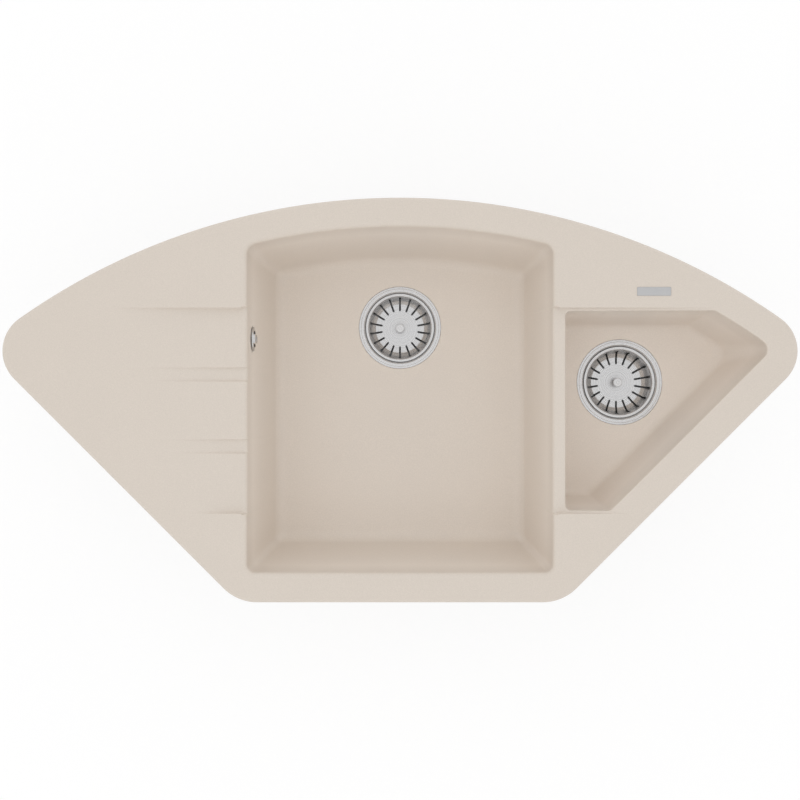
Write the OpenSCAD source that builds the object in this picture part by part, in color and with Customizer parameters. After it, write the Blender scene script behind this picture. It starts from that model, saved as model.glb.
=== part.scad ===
/* [Deck] */
// Width of the sink from tip to tip
sink_w = 1000; // [960:1:1050]
// Depth of the sink from the front edge to the top of the back arc
sink_d = 509; // [490:1:530]
// Length of the straight front edge before its corners are rounded
front_w = 409; // [395:1:425]
// Radius of the left and right tips
tip_r = 50; // [44:1:56]
// Radius of the two front corners
front_r = 60; // [40:1:80]
// Height of the rim above the worktop
rim_h = 9; // [8:0.5:12]
// Radius of the rounded upper edge of the rim
edge_r = 6; // [3:0.5:7]
// Radius of the small lower edge of the rim
lower_edge_r = 1; // [0.5:0.1:2]
// Width of the lip that rests on the worktop
lip_w = 14; // [12:0.5:16]
// Depth of the deck below the worktop's surface
sunk_h = 7; // [5:0.5:10]

/* [Bowls] */
// Width of the main bowl at its rim
main_w = 387; // [370:1:395]
// Depth of the main bowl below the deck
main_depth = 200; // [170:1:210]
// Depth of the small bowl below the deck
small_depth = 124; // [110:1:150]
// Distance from the back edge to both bowls
rim_back = 37; // [36:0.5:42]
// Distance from the front edge to the main bowl
rim_front = 38; // [36:0.5:42]
// Distance from the slanted right edge to the small bowl
rim_side = 39.5; // [38:0.5:44]
// Width of the divider between the bowls
divider_w = 13; // [11:0.5:18]
// Slope of the bowl walls, in degrees from upright
draft = 3; // [1:0.5:4]
// Thickness of the bowl walls
wall = 8; // [6:0.5:9]
// Thickness of the bowl floors
floor_t = 10; // [8:0.5:12]
// Radius between a wall and the floor
floor_r = 18; // [10:1:24]
// Radius of the bowls' rim edge
rim_r = 3; // [1:0.5:4]
// Corner radius at the back of the main bowl
main_back_r = 13; // [8:1:20]
// Corner radius at the front of the main bowl
main_front_r = 10; // [8:1:20]
// Radius of the small bowl's right tip
small_tip_r = 13; // [9:1:18]
// Radius of the small bowl's other corners
small_corner_r = 7; // [5:0.5:10]
// Fall of each floor towards its drain
floor_fall = 2; // [1:0.5:4]

/* [Drainer] */
// Back edge of the sunken band, from the middle of the sink
band_back = 115.3; // [112:0.1:120]
// Front edge of the sunken band, from the middle of the sink
band_front = 142.1; // [138:0.1:146]
// Depth of the sunken band at the bowl
band_depth = 8; // [4:0.5:9]
// Where the band's back edge starts on the left
band_left_back = 361; // [340:1:380]
// Where the band's front edge starts on the left
band_left_front = 252; // [240:1:275]
// Where the band's back edge ends on the right
band_right_back = 406; // [396:1:416]
// Where the band's front edge ends on the right
band_right_front = 278; // [270:1:300]
// Ledge between the band's edges and the small bowl
ledge = 3; // [2:0.5:6]
// Width of each drainer groove
groove_w = 15; // [10:0.5:20]
// Extra depth of each groove at the bowl
groove_depth = 2.5; // [1:0.5:4]
// Width of a groove's slanted side
groove_side = 2; // [1:0.5:3]
// Middle of the rear groove
groove_rear_y = 32.1; // [26:0.1:40]
// Middle of the front groove
groove_front_y = -58.5; // [-66:0.1:-52]

/* [Drains] */
// Distance of the main drain behind the middle of the sink
main_drain_y = 101.4; // [80:0.1:115]
// Distance of the small drain from the small bowl's left edge
small_drain_in = 89; // [86:0.1:97]
// Distance of the small drain behind the middle of the sink
small_drain_y = 23.9; // [10:0.1:35]
// Radius of the hole through the floor
hole_r = 45.5; // [44.5:0.1:47]
// Radius of the boss under the floor
boss_r = 62; // [60:0.5:66]
// Depth of the boss below the floor's surface
boss_h = 14; // [13:0.5:18]

/* [Strainer] */
// Radius of the steel flange
flange_r = 57.2; // [56:0.1:58]
// Thickness of the pressed steel
steel_t = 1; // [0.6:0.1:1.2]
// Radius where the flange dips into its dish
dish_r = 50.6; // [49.5:0.1:51.5]
// Depth of the dish
dish_h = 7.6; // [6:0.1:9]
// Play between the cup and the hole
cup_play = 0.3; // [0.2:0.1:0.5]
// Depth of the cup
cup_h = 37; // [36:0.5:42]
// Radius of the circle of outlet holes in the cup's floor
outlet_pitch_r = 23; // [20:0.5:24]
// Radius of each outlet hole
outlet_r = 5; // [3:0.5:6]
// Number of outlet holes
outlet_count = 8; // [6:1:9]
// Thickness of the upper gasket
gasket_t = 1.2; // [1:0.1:2]
// Thickness of the lower gasket
lower_gasket_t = 2.5; // [2:0.5:4]
// How far the lower gasket stays inside the clamping flange
lower_gasket_in = 2; // [1:0.5:4]

/* [Basket] */
// Radius of the basket's rim
basket_r = 47.8; // [47.2:0.1:48.2]
// Thickness of the basket's sheet
basket_t = 0.8; // [0.5:0.1:1]
// Width of the basket's flat rim
basket_rim_w = 3.4; // [3:0.1:4]
// Depth of the basket's floor below the flange
basket_depth = 30; // [26:0.5:30]
// Radius of the basket's wall at its lower end
basket_low_r = 39.5; // [37:0.5:41]
// Radius of the basket's flat floor
basket_floor_r = 33; // [31:0.5:35]
// Height of the basket's rounded foot
basket_foot_h = 10.5; // [8:0.5:14]
// Height of the basket's curl under its rim
basket_curl_h = 3; // [2:0.5:4]
// Number of slots
slot_count = 18; // [12:1:20]
// Width of each slot
slot_w = 2.6; // [1.5:0.1:3.2]
// Radius where the slots start
slot_from_r = 25; // [23:0.5:28]
// Height of the slots' upper end below the flange
slot_top = 6; // [5:0.5:9]
// Radius of the knob's head
knob_r = 6; // [4:0.5:8]
// Height of the knob above the basket's floor
knob_h = 15; // [10:0.5:18]
// Thickness of the knob's head
knob_head_t = 3; // [2:0.5:5]
// Chamfer of the knob and of the pressed parts
chamfer = 1; // [0.5:0.1:1.5]
// Radius of the knob's stem
knob_stem_r = 3; // [2:0.5:3.5]
// Outer radius of the stopper seal
seal_r = 34; // [32:0.5:35]
// Inner radius of the stopper seal
seal_bore_r = 11; // [10.5:0.5:14]
// Thickness of the stopper seal's disc
seal_disc_t = 3; // [2:0.5:4]
// Width of the stopper seal's lip
seal_lip_w = 3; // [2:0.5:4]
// Radius of the stopper pin
pin_r = 3; // [2.5:0.1:3.2]
// Length of the stopper pin
pin_l = 21; // [15:0.5:24]

/* [Waste] */
// Radius of the waste's clamping flange
waste_flange_r = 60; // [58:0.5:61]
// Thickness of the waste's clamping flange
waste_flange_t = 5; // [4:0.5:7]
// Thickness of the waste's wall
waste_wall = 3.5; // [2.5:0.5:4]
// Play between the cup and the waste's wall
waste_play = 1.3; // [1:0.1:2]
// Depth of the waste's straight wall below the bowl's floor
waste_wall_h = 50; // [49:0.5:54]
// Depth of the outlet thread's upper end
thread_top = 64; // [62:0.5:68]
// Radius of the outlet thread
thread_r = 23.9; // [20:0.1:26]
// Length of the outlet thread
thread_l = 25; // [18:0.5:32]
// Radius of the outlet's bore
outlet_bore_r = 19.5; // [16:0.5:20]
// Radius of the hub that holds the insert
hub_r = 12; // [11:0.5:14]
// Height of the hub
hub_h = 16; // [12:0.5:17]
// Gap between the cup's floor and the hub
hub_gap = 9; // [7:0.5:10]
// How far the ribs stay inside the hub's ends
rib_in = 2; // [1:0.5:4]
// Thickness of the ribs that carry the hub
rib_t = 4; // [3:0.5:6]
// Radius of the clamp screw's head
screw_head_r = 9; // [8:0.5:10]
// Height of the clamp screw's head
screw_head_h = 4; // [3:0.5:4.5]
// Radius of the clamp screw's shank
screw_r = 5; // [4.5:0.1:5.5]
// Length of the clamp screw's shank
screw_l = 26; // [22:0.5:26]
// Outer radius of the threaded insert
insert_r = 8; // [7:0.5:9]
// Radial play of a screw in its thread
thread_play = 0.05; // [0.02:0.01:0.1]
// Radial play of the pin in the clamp screw
pin_play = 0.3; // [0.2:0.05:0.5]
// Gap between pieces that rest on each other but move apart
rest_gap = 0.1; // [0.05:0.05:0.3]

/* [Overflow] */
// Distance of the overflow behind the middle of the sink
overflow_y = 78.5; // [70:0.5:90]
// Depth of the overflow below the deck
overflow_depth = 50; // [46:0.5:60]
// Radius of the overflow hole
overflow_hole_r = 13; // [12:0.5:13.5]
// Radius of the overflow cover
cover_r = 15.8; // [15:0.1:17]
// Thickness of the overflow cover
cover_t = 2.5; // [1.5:0.5:3]
// Width of the bridge across the cover
bridge_w = 11; // [8:0.5:12]
// How far the bridge stands out
bridge_h = 2; // [1:0.5:3]
// Width of each slot beside the bridge
cover_slot_w = 4; // [3:0.5:5]
// Width of the web between the bridge and each slot
cover_web = 1; // [0.5:0.1:2]
// Radius of the overflow screw
cover_screw_r = 2.5; // [2:0.1:3]
// Height of the overflow screw's head
cover_head_h = 1.5; // [1:0.1:2]
// Radius of the pad behind the wall
pad_r = 20; // [19.5:0.5:24]
// How far the pad stands out from the wall's rim line
pad_out = 12; // [10:0.5:16]
// Thickness of the overflow gasket
overflow_gasket_t = 2; // [1:0.5:3]
// Radius of the elbow's flange
elbow_flange_r = 19; // [18:0.5:19.5]
// Thickness of the elbow's flange
elbow_flange_t = 3; // [2:0.5:4]
// Radius of the elbow's chamber
elbow_r = 15; // [14.5:0.5:16]
// Length of the elbow's chamber
elbow_l = 30; // [28:0.5:34]
// Thickness of the elbow's wall
elbow_wall = 2.5; // [2:0.5:3]
// Height of the bar that the overflow screw goes into
elbow_bar_h = 6; // [5.5:0.5:8]
// Length of the elbow's spigot below the overflow's axis
elbow_drop = 38; // [36:0.5:44]
// Outer radius of the spigots that the hose meets
spigot_r = 11; // [10.5:0.1:11.4]
// Bore radius of the hose and its spigots
hose_bore_r = 8; // [7:0.1:8.5]
// Outer radius of the hose's ribs
hose_r = 11.4; // [11:0.1:11.5]
// Radius between the ribs
hose_valley_r = 9.7; // [9.2:0.1:10]
// Pitch of the ribs
hose_pitch = 4.5; // [4:0.1:6]
// Bend radius of the hose
hose_bend = 90; // [60:1:92]
// Distance of the waste's spigot end from the drain's axis
inlet_end = 74; // [72:0.5:80]
// Depth of the waste's spigot below the bowl's floor
inlet_depth = 34; // [33.5:0.1:37]
// Outer radius of the hose nuts
nut_r = 15.5; // [14.5:0.5:17]
// Length of the hose nuts
nut_l = 22; // [16:0.5:26]
// Gap between a hose nut and the hose
nut_gap = 0.3; // [0.2:0.05:0.4]

/* [Trim] */
// Width of the seal under the rim
rim_seal_w = 6; // [4:0.5:7]
// Depth of the seal's groove
rim_seal_h = 2; // [1:0.5:3]
// Distance of the seal from the rim's edge
rim_seal_in = 4; // [3:0.5:5]
// Width of the blank badge plate
badge_w = 42.6; // [30:0.1:50]
// Height of the blank badge plate
badge_d = 10.8; // [8:0.1:14]
// Thickness of the badge plate
badge_t = 1; // [0.6:0.1:1.4]
// Depth of the badge's recess
badge_sunk = 0.6; // [0.3:0.1:0.8]
// Gap around the badge in its recess
badge_gap = 0.1; // [0.05:0.05:0.3]
// Distance of the badge from the sink's right tip
badge_in = 181.4; // [170:0.1:200]
// Distance of the badge behind the middle
badge_y = 136.2; // [130:0.1:150]
// Distance of the tap holes from the middle
tap_x = 262; // [256:1:280]
// Distance of the tap holes behind the middle
tap_y = 160; // [150:1:165]
// Radius of the tap holes
tap_r = 17.5; // [16:0.5:18]
// Thickness of stone left above the tap holes
tap_cap = 5; // [4:0.5:7]

/* [Clips] */
// Distance of the clips from the rim's edge
clip_in = 22; // [21.5:0.1:22.5]
// Place of the back clips to either side of the middle
clip_back_x = 215; // [160:1:222]
// Place of the front clips to either side of the middle
clip_front_x = 120; // [60:1:150]
// Radius of the moulded lugs
lug_r = 7.5; // [7:0.1:8]
// Length of the moulded lugs below the deck
lug_h = 15; // [12:0.5:16]
// Radius of the clip inserts
clip_insert_r = 5; // [4.5:0.1:5.5]
// Length of the clip inserts
clip_insert_l = 14; // [12:0.5:14]
// Radius of the clip screws
clip_screw_r = 3; // [2.5:0.1:3.2]
// How far a clip screw's end stays inside its insert
clip_screw_in = 2; // [1:0.5:4]
// Radius of the clip screws' heads
clip_head_r = 6; // [5:0.5:7]
// Height of the clip screws' heads
clip_head_h = 4; // [3:0.5:5]
// Distance from the worktop's surface to the claws' tips at rest, the worktop's thickness
worktop_t = 38; // [36:1:42]
// Travel of a clip upwards
clip_up = 10; // [4:1:12]
// Reach of a claw from its screw
claw_reach = 20; // [16:0.5:21]
// Width of a claw
claw_w = 12; // [10:0.5:13]
// Thickness of a claw
claw_t = 3; // [2:0.5:4]
// Height of a claw's tip
claw_tip_h = 9; // [6:0.5:10]
// Radial play of a claw on its screw
claw_play = 0.1; // [0.05:0.05:0.2]

/* [Hidden] */

$fn = 64;
eps = 0.01;
stone = [0.85, 0.81, 0.765];
steel = [0.78, 0.79, 0.8];
chrome = [0.88, 0.89, 0.9];
brass = [0.8, 0.66, 0.36];
rubber = [0.16, 0.16, 0.17];
plastic = [0.93, 0.93, 0.91];
grey_plastic = [0.55, 0.56, 0.57];

// The outline: a straight front, 45 degree sides, round tips and one arc along the back
side_c = front_w / 2 + sink_d / 2;
tip_x = sink_w / 2 - tip_r;
tip_y = tip_x - side_c + sqrt(2) * tip_r;
tip_drop = sink_d / 2 - tip_y;
back_r = (tip_x * tip_x + tip_drop * tip_drop - tip_r * tip_r) / (2 * (tip_drop - tip_r));
back_y = sink_d / 2 - back_r;
tip_a = atan2(tip_y - back_y, tip_x);
corner_y = front_r - sink_d / 2;
corner_x = side_c + corner_y - sqrt(2) * front_r;

// Points of an arc from angle a to angle b, without its last point if open is true
function arc(c, r, a, b, n, open = false) = [
    for (i = [0:open ? n - 1 : n])
        [c.x + r * cos(a + (b - a) * i / n), c.y + r * sin(a + (b - a) * i / n)]
];

// The outline of the deck, drawn in by i all round
function outline(i) = concat(
    arc([corner_x, corner_y], front_r - i, -90, -45, 5),
    arc([tip_x, tip_y], tip_r - i, -45, tip_a, 8, true),
    arc([0, back_y], back_r - i, tip_a, 180 - tip_a, 22, true),
    arc([-tip_x, tip_y], tip_r - i, 180 - tip_a, 225, 8),
    arc([-corner_x, corner_y], front_r - i, 225, 270, 5)
);

// The rim of the main bowl, drawn in by i, with its back edge on an arc about the outline's centre
function main_ring(i) =
    let (
        half = main_w / 2 - i,
        r = back_r - rim_back - i,
        cx = half - main_back_r,
        cy = back_y + sqrt(pow(r - main_back_r, 2) - cx * cx),
        a = atan2(cy - back_y, cx),
        fx = half - main_front_r,
        fy = rim_front - sink_d / 2 + i + main_front_r
    )
    concat(
        arc([fx, fy], main_front_r, -90, 0, 4),
        arc([cx, cy], main_back_r, 0, a, 4, true),
        arc([0, back_y], r, a, 180 - a, 10, true),
        arc([-cx, cy], main_back_r, 180 - a, 180, 4),
        arc([-fx, fy], main_front_r, 180, 270, 4)
    );

// The rim of the small bowl, drawn in by i, with its right end parallel to the outline
small_left = main_w / 2 + divider_w;
small_back = band_back - ledge;
small_front = ledge - band_front;
function small_ring(i) =
    let (
        c = side_c - sqrt(2) * (rim_side + i),
        r = back_r - rim_back - i,
        k = c - sqrt(2) * small_tip_r,
        p = r - small_tip_r,
        h = k - back_y,
        v = (sqrt(h * h - 2 * (k * k + back_y * back_y - p * p)) - h) / 2,
        u = v + k,
        tip = atan2(v - back_y, u),
        ty = small_back - i - small_corner_r,
        tx = sqrt(pow(r - small_corner_r, 2) - pow(ty - back_y, 2)),
        ta = atan2(ty - back_y, tx),
        by = small_front + i + small_corner_r,
        bx = c + by - sqrt(2) * small_corner_r,
        lx = small_left + i + small_corner_r
    )
    concat(
        arc([bx, by], small_corner_r, -90, -45, 3),
        arc([u, v], small_tip_r, -45, tip, 6, true),
        arc([0, back_y], r, tip, ta, 3, true),
        arc([tx, ty], small_corner_r, ta, 90, 3),
        arc([lx, ty], small_corner_r, 90, 180, 4),
        arc([lx, by], small_corner_r, 180, 270, 4)
    );

// Heights of the floors at the foot of the walls and at the drains
main_floor = rim_h - main_depth;
small_floor = rim_h - small_depth;
main_drain = [0, main_drain_y, main_floor - floor_fall];
small_drain = [small_left + small_drain_in, small_drain_y, small_floor - floor_fall];

// The slope of the dish, as a line of height over radius
cup_r = hole_r - cup_play;
dish_slope = dish_h / (dish_r - cup_r + steel_t);
slope_k = sqrt(1 + dish_slope * dish_slope);
function dish_z(r, below) = dish_slope * (r - dish_r) - below * slope_k;
function dish_at(z, below) = dish_r + (z + below * slope_k) / dish_slope;
seat_depth = steel_t + gasket_t;
waste_bore_r = cup_r + waste_play;
gasket_in_r = dish_at(-seat_depth, steel_t + 2 * cup_play) + cup_play;
waste_top = boss_h + lower_gasket_t;
basket_under = basket_depth + basket_t;
basket_rim_z = dish_z(basket_r, 0) + 2 * basket_t + rest_gap;
insert_top = cup_h + hub_gap;
screw_bore_r = pin_r + pin_play;
pin_hole_l = basket_under + pin_l + 1;

// Places along the overflow's axis, as distances to the left of the middle
overflow_z = rim_h - overflow_depth;
cover_face = main_w / 2 - (overflow_depth + cover_r + cover_t) * tan(draft);
spot_x = cover_face + cover_t / 2;
pad_x = main_w / 2 + pad_out;
elbow_x = pad_x + overflow_gasket_t + elbow_flange_t;
spigot_x = elbow_x + elbow_l - elbow_r;
hose_top_z = overflow_z - elbow_drop;
inlet_z = main_drain.z - inlet_depth;
inlet_dx = -spigot_x - main_drain.x;
inlet_dy = overflow_y - main_drain.y;
inlet_a = atan2(inlet_dy, inlet_dx);
hose_run = sqrt(inlet_dx * inlet_dx + inlet_dy * inlet_dy) - inlet_end;

// The clips: two along the back, one on each slanted side and two along the front
side_mid = (corner_x + tip_x + (front_r + tip_r) / sqrt(2)) / 2;
clip_back_r = back_r - clip_in;
clip_back_y = back_y + sqrt(clip_back_r * clip_back_r - clip_back_x * clip_back_x);
clip_back_a = atan2(clip_back_y - back_y, clip_back_x);
clip_side = [side_mid - clip_in / sqrt(2), side_mid - side_c + clip_in / sqrt(2)];
clip_front_y = clip_in - sink_d / 2;
CLIPS = [
    [clip_back_x, clip_back_y, clip_back_a],
    [-clip_back_x, clip_back_y, 180 - clip_back_a],
    [clip_side.x, clip_side.y, -45],
    [-clip_side.x, clip_side.y, 225],
    [clip_front_x, clip_front_y, -90],
    [-clip_front_x, clip_front_y, -90]
];
lug_low = -sunk_h - lug_h;
claw_low = -worktop_t - claw_tip_h - claw_t;
clip_screw_top = lug_low + clip_insert_l - clip_screw_in;
clip_bore_top = clip_screw_top + clip_screw_in + clip_up + 1;

// A closed solid through rings of points, each ring a pair of points and height, lowest first
module loft(rings) {
    n = len(rings[0][0]);
    points = [for (ring = rings) for (p = ring[0]) [p.x, p.y, ring[1]]];
    sides = [
        for (k = [0:len(rings) - 2])
            for (i = [0:n - 1])
                let (a = k * n + i, b = k * n + (i + 1) % n)
                    each [[a, a + n, b], [b, a + n, b + n]]
    ];
    low = [for (i = [0:n - 1]) i];
    high = [for (i = [n - 1:-1:0]) (len(rings) - 1) * n + i];
    polyhedron(points, concat([low], sides, [high]));
}

// A solid from a grid of low points, rows from front to back, up to one height
module trough(grid, top) {
    n = len(grid);
    m = len(grid[0]);
    low = [for (row = grid) for (p = row) p];
    high = [for (p = low) [p.x, p.y, top]];
    u = n * m;
    floor_faces = [
        for (r = [0:n - 2])
            for (c = [0:m - 2])
                let (a = r * m + c, b = a + m)
                    each [
                        [a, a + 1, b + 1], [a, b + 1, b],
                        [u + a, u + b + 1, u + a + 1], [u + a, u + b, u + b + 1]
                    ]
    ];
    end_faces = [
        for (c = [0:m - 2])
            let (a = c, b = (n - 1) * m + c)
                each [
                    [a, u + a, u + a + 1], [a, u + a + 1, a + 1],
                    [b, b + 1, u + b + 1], [b, u + b + 1, u + b]
                ]
    ];
    side_faces = [
        for (r = [0:n - 2])
            let (a = r * m, b = a + m, d = b - 1, e = d + m)
                each [
                    [b, u + b, u + a], [b, u + a, a],
                    [d, u + d, u + e], [d, u + e, e]
                ]
    ];
    polyhedron(concat(low, high), concat(floor_faces, end_faces, side_faces));
}

// The heights and insets of a bowl's wall between its rim and its floor
function bowl_profile(floor_z, out) =
    let (
        foot = floor_z + floor_r,
        drawn = (rim_h - foot) * tan(draft) - out,
        r = floor_r + out
    )
    concat(
        [for (a = [90:-22.5:0]) [drawn + r * (1 - cos(a)), foot - r * sin(a)]],
        [[-out, rim_h - rim_r]]
    );

// The points of a ring, each moved along its ray from c to radius r
function round_drain(ring, c, r) = [
    for (p = ring)
        let (d = [p.x - c.x, p.y - c.y], l = sqrt(d.x * d.x + d.y * d.y))
            [c.x + r * d.x / l, c.y + r * d.y / l]
];

module main_hollow() {
    profile = bowl_profile(main_floor, 0);
    flat = main_ring(profile[0][0]);
    loft(concat(
        [[round_drain(flat, main_drain, boss_r), main_drain.z]],
        [for (p = profile) [main_ring(p[0]), p[1]]],
        [for (a = [45, 90]) [main_ring(rim_r * (cos(a) - 1)), rim_h - rim_r * (1 - sin(a))]],
        [[main_ring(-rim_r), rim_h + 1]]
    ));
}

module small_hollow() {
    profile = bowl_profile(small_floor, 0);
    flat = small_ring(profile[0][0]);
    loft(concat(
        [[round_drain(flat, small_drain, boss_r), small_drain.z]],
        [for (p = profile) [small_ring(p[0]), p[1]]],
        [[small_ring(0), rim_h + 1]]
    ));
}

module main_shell() {
    profile = bowl_profile(main_floor, wall);
    low = main_floor - floor_t;
    loft([for (p = profile) [main_ring(p[0]), max(low, p[1] + wall - floor_t)]]);
}

module small_shell() {
    profile = bowl_profile(small_floor, wall);
    low = small_floor - floor_t;
    loft([for (p = profile) [small_ring(p[0]), max(low, p[1] + wall - floor_t)]]);
}

module deck() {
    loft(concat(
        [
            [outline(lower_edge_r), 0],
            [outline(0), lower_edge_r]
        ],
        [
            for (a = [0:22.5:90])
                [outline(edge_r * (1 - cos(a))), rim_h - edge_r * (1 - sin(a))]
        ]
    ));
    translate([0, 0, -sunk_h])
        linear_extrude(sunk_h + rim_h / 2)
            polygon(outline(lip_w));
}

// The sunken band falls from the hinge lines on both sides to the main bowl
function left_start(y) =
    -band_left_front - (band_left_back - band_left_front) * (y + band_front) / (band_back + band_front);
function right_end(y) =
    band_right_front + (band_right_back - band_right_front) * (y + band_front) / (band_back + band_front);
band_over = 5;

module left_band() {
    rows = [
        [-band_front, 0],
        for (g = [groove_front_y, groove_rear_y])
            each [
                [g - groove_w / 2, 0],
                [g - groove_w / 2 + groove_side, groove_depth],
                [g + groove_w / 2 - groove_side, groove_depth],
                [g + groove_w / 2, 0]
            ],
        [band_back, 0]
    ];
    trough([
        for (row = rows)
            let (
                y = row[0],
                start = left_start(y),
                slope = (band_depth + row[1]) / (-main_w / 2 - start)
            )
            [
                [start - band_over, y, rim_h + slope * band_over],
                [band_over - main_w / 2, y, rim_h - band_depth - row[1] - slope * band_over]
            ]
    ], rim_h + band_over);
}

module right_band() {
    trough([
        for (y = [-band_front, band_back])
            let (end = right_end(y), slope = band_depth / (end - small_left))
            [
                [main_w / 2 - band_over, y, rim_h - band_depth],
                [small_left, y, rim_h - band_depth],
                [end + band_over, y, rim_h + slope * band_over]
            ]
    ], rim_h + band_over);
}

module on_clip(k) {
    translate([CLIPS[k].x, CLIPS[k].y, 0])
        rotate([0, 0, CLIPS[k].z])
            children();
}

module on_badge() {
    translate([sink_w / 2 - badge_in, badge_y, rim_h])
        children();
}

// The hole for a strainer: a rebate, a conical seat and a straight hole
module drain_hole() {
    seat_r = dish_at(-seat_depth, steel_t + cup_play);
    rotate_extrude()
        polygon([
            [0, 1],
            [flange_r + cup_play, 1],
            [flange_r + cup_play, -seat_depth],
            [seat_r, -seat_depth],
            [hole_r, dish_z(hole_r, steel_t + cup_play)],
            [hole_r, -boss_h - 1],
            [0, -boss_h - 1]
        ]);
}

module sink_body() {
    color(stone) difference() {
        union() {
            deck();
            main_shell();
            small_shell();
            for (d = [main_drain, small_drain])
                translate([d.x, d.y, d.z - boss_h])
                    cylinder(r = boss_r, h = boss_h - floor_fall);
            translate([-pad_x, overflow_y, overflow_z])
                rotate([0, 90, 0])
                    cylinder(r = pad_r, h = pad_x - spot_x - wall / 2);
            for (k = [0:len(CLIPS) - 1])
                on_clip(k)
                    translate([0, 0, lug_low])
                        cylinder(r = lug_r, h = lug_h + eps);
        }
        main_hollow();
        small_hollow();
        left_band();
        right_band();
        translate(main_drain)
            drain_hole();
        translate(small_drain)
            drain_hole();
        translate([-pad_x - 1, overflow_y, overflow_z])
            rotate([0, 90, 0])
                cylinder(r = overflow_hole_r, h = pad_x);
        translate([-spot_x, overflow_y, overflow_z])
            rotate([0, 90, 0])
                cylinder(r = cover_r + cup_play, h = wall * 2);
        for (k = [0:len(CLIPS) - 1])
            on_clip(k)
                translate([0, 0, lug_low - 1])
                    cylinder(r = clip_insert_r, h = clip_bore_top - lug_low + 1);
        for (s = [-1, 1])
            translate([s * tap_x, tap_y, -sunk_h - 1])
                cylinder(r = tap_r, h = sunk_h + 1 + rim_h - tap_cap);
        on_badge()
            translate([0, 0, 0.5 - badge_sunk / 2])
                cube([badge_w + 2 * badge_gap, badge_d + 2 * badge_gap, badge_sunk + 1], center = true);
        translate([0, 0, -1])
            linear_extrude(rim_seal_h + 1)
                difference() {
                    polygon(outline(rim_seal_in));
                    polygon(outline(rim_seal_in + rim_seal_w));
                }
    }
}

module rim_seal() {
    color(rubber) linear_extrude(rim_seal_h)
        difference() {
            polygon(outline(rim_seal_in));
            polygon(outline(rim_seal_in + rim_seal_w));
        }
}

module badge_plate() {
    color(chrome) on_badge()
        translate([0, 0, badge_t / 2 - badge_sunk])
            cube([badge_w, badge_d, badge_t], center = true);
}

module strainer_cup() {
    in_r = cup_r - steel_t;
    color(steel) difference() {
        rotate_extrude()
            polygon([
                [0, -cup_h],
                [cup_r - 2 * chamfer, -cup_h],
                [cup_r, 2 * chamfer - cup_h],
                [cup_r, dish_z(cup_r, steel_t)],
                [dish_at(-steel_t, steel_t), -steel_t],
                [flange_r, -steel_t],
                [flange_r, 0],
                [dish_r, 0],
                [in_r, dish_z(in_r, 0)],
                [in_r, -cup_h + steel_t],
                [0, -cup_h + steel_t]
            ]);
        translate([0, 0, -cup_h - 1])
            cylinder(r = screw_r + thread_play, h = steel_t + 2);
        for (k = [0:outlet_count - 1])
            rotate([0, 0, k * 360 / outlet_count])
                translate([outlet_pitch_r, 0, -cup_h - 1])
                    cylinder(r = outlet_r, h = steel_t + 2);
    }
}

module cup_gasket() {
    color(rubber) translate([0, 0, -seat_depth])
        difference() {
            cylinder(r = flange_r, h = gasket_t);
            translate([0, 0, -1])
                cylinder(r = gasket_in_r, h = gasket_t + 2);
        }
}

module lower_gasket() {
    color(rubber) translate([0, 0, -waste_top])
        difference() {
            cylinder(r = waste_flange_r - lower_gasket_in, h = lower_gasket_t);
            translate([0, 0, -1])
                cylinder(r = waste_bore_r, h = lower_gasket_t + 2);
        }
}

module waste_shell() {
    out_r = waste_bore_r + waste_wall;
    rotate_extrude()
        polygon([
            [waste_bore_r, -waste_top],
            [waste_bore_r, -waste_wall_h],
            [outlet_bore_r, -thread_top],
            [outlet_bore_r, -thread_top - thread_l],
            [thread_r, -thread_top - thread_l],
            [thread_r, -thread_top],
            [out_r, -waste_wall_h - waste_wall / 2],
            [out_r, -waste_top - waste_flange_t],
            [waste_flange_r, -waste_top - waste_flange_t],
            [waste_flange_r, -waste_top]
        ]);
}

module waste_hub() {
    low = insert_top + hub_h;
    difference() {
        union() {
            translate([0, 0, -low])
                cylinder(r = hub_r, h = hub_h);
            intersection() {
                for (k = [0:2])
                    rotate([0, 0, k * 120 + 60])
                        translate([0, -rib_t / 2, rib_in - low])
                            cube([waste_bore_r + 1, rib_t, hub_h - 2 * rib_in]);
                rotate_extrude()
                    polygon([
                        [0, -insert_top],
                        [waste_bore_r + 1, -insert_top],
                        [waste_bore_r + 1, -waste_wall_h],
                        [outlet_bore_r + 1, -thread_top],
                        [0, -thread_top]
                    ]);
            }
        }
        translate([0, 0, -low - 1])
            cylinder(r = insert_r, h = hub_h + 2);
    }
}

module small_waste_body() {
    color(plastic) translate(small_drain) {
        waste_shell();
        waste_hub();
    }
}

module main_waste_body() {
    color(plastic) translate(main_drain) {
        difference() {
            union() {
                waste_shell();
                waste_hub();
                rotate([0, 0, inlet_a])
                    translate([waste_bore_r + 1, 0, -inlet_depth])
                        rotate([0, 90, 0])
                            cylinder(r = spigot_r, h = inlet_end - waste_bore_r - 1);
            }
            rotate([0, 0, inlet_a])
                translate([waste_bore_r - 4, 0, -inlet_depth])
                    rotate([0, 90, 0])
                        cylinder(r = hose_bore_r, h = inlet_end);
        }
    }
}

module clamp_screw() {
    head_low = steel_t - cup_h;
    color(steel) difference() {
        union() {
            translate([0, 0, head_low])
                cylinder(r = screw_head_r, h = screw_head_h, $fn = 6);
            translate([0, 0, head_low - screw_l])
                cylinder(r = screw_r, h = screw_l + eps);
        }
        translate([0, 0, -pin_hole_l])
            cylinder(r = screw_bore_r, h = pin_hole_l);
    }
}

module waste_insert() {
    color(brass) translate([0, 0, -insert_top - hub_h])
        difference() {
            cylinder(r = insert_r - thread_play, h = hub_h);
            translate([0, 0, -1])
                cylinder(r = screw_r + thread_play, h = hub_h + 2);
        }
}

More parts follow.
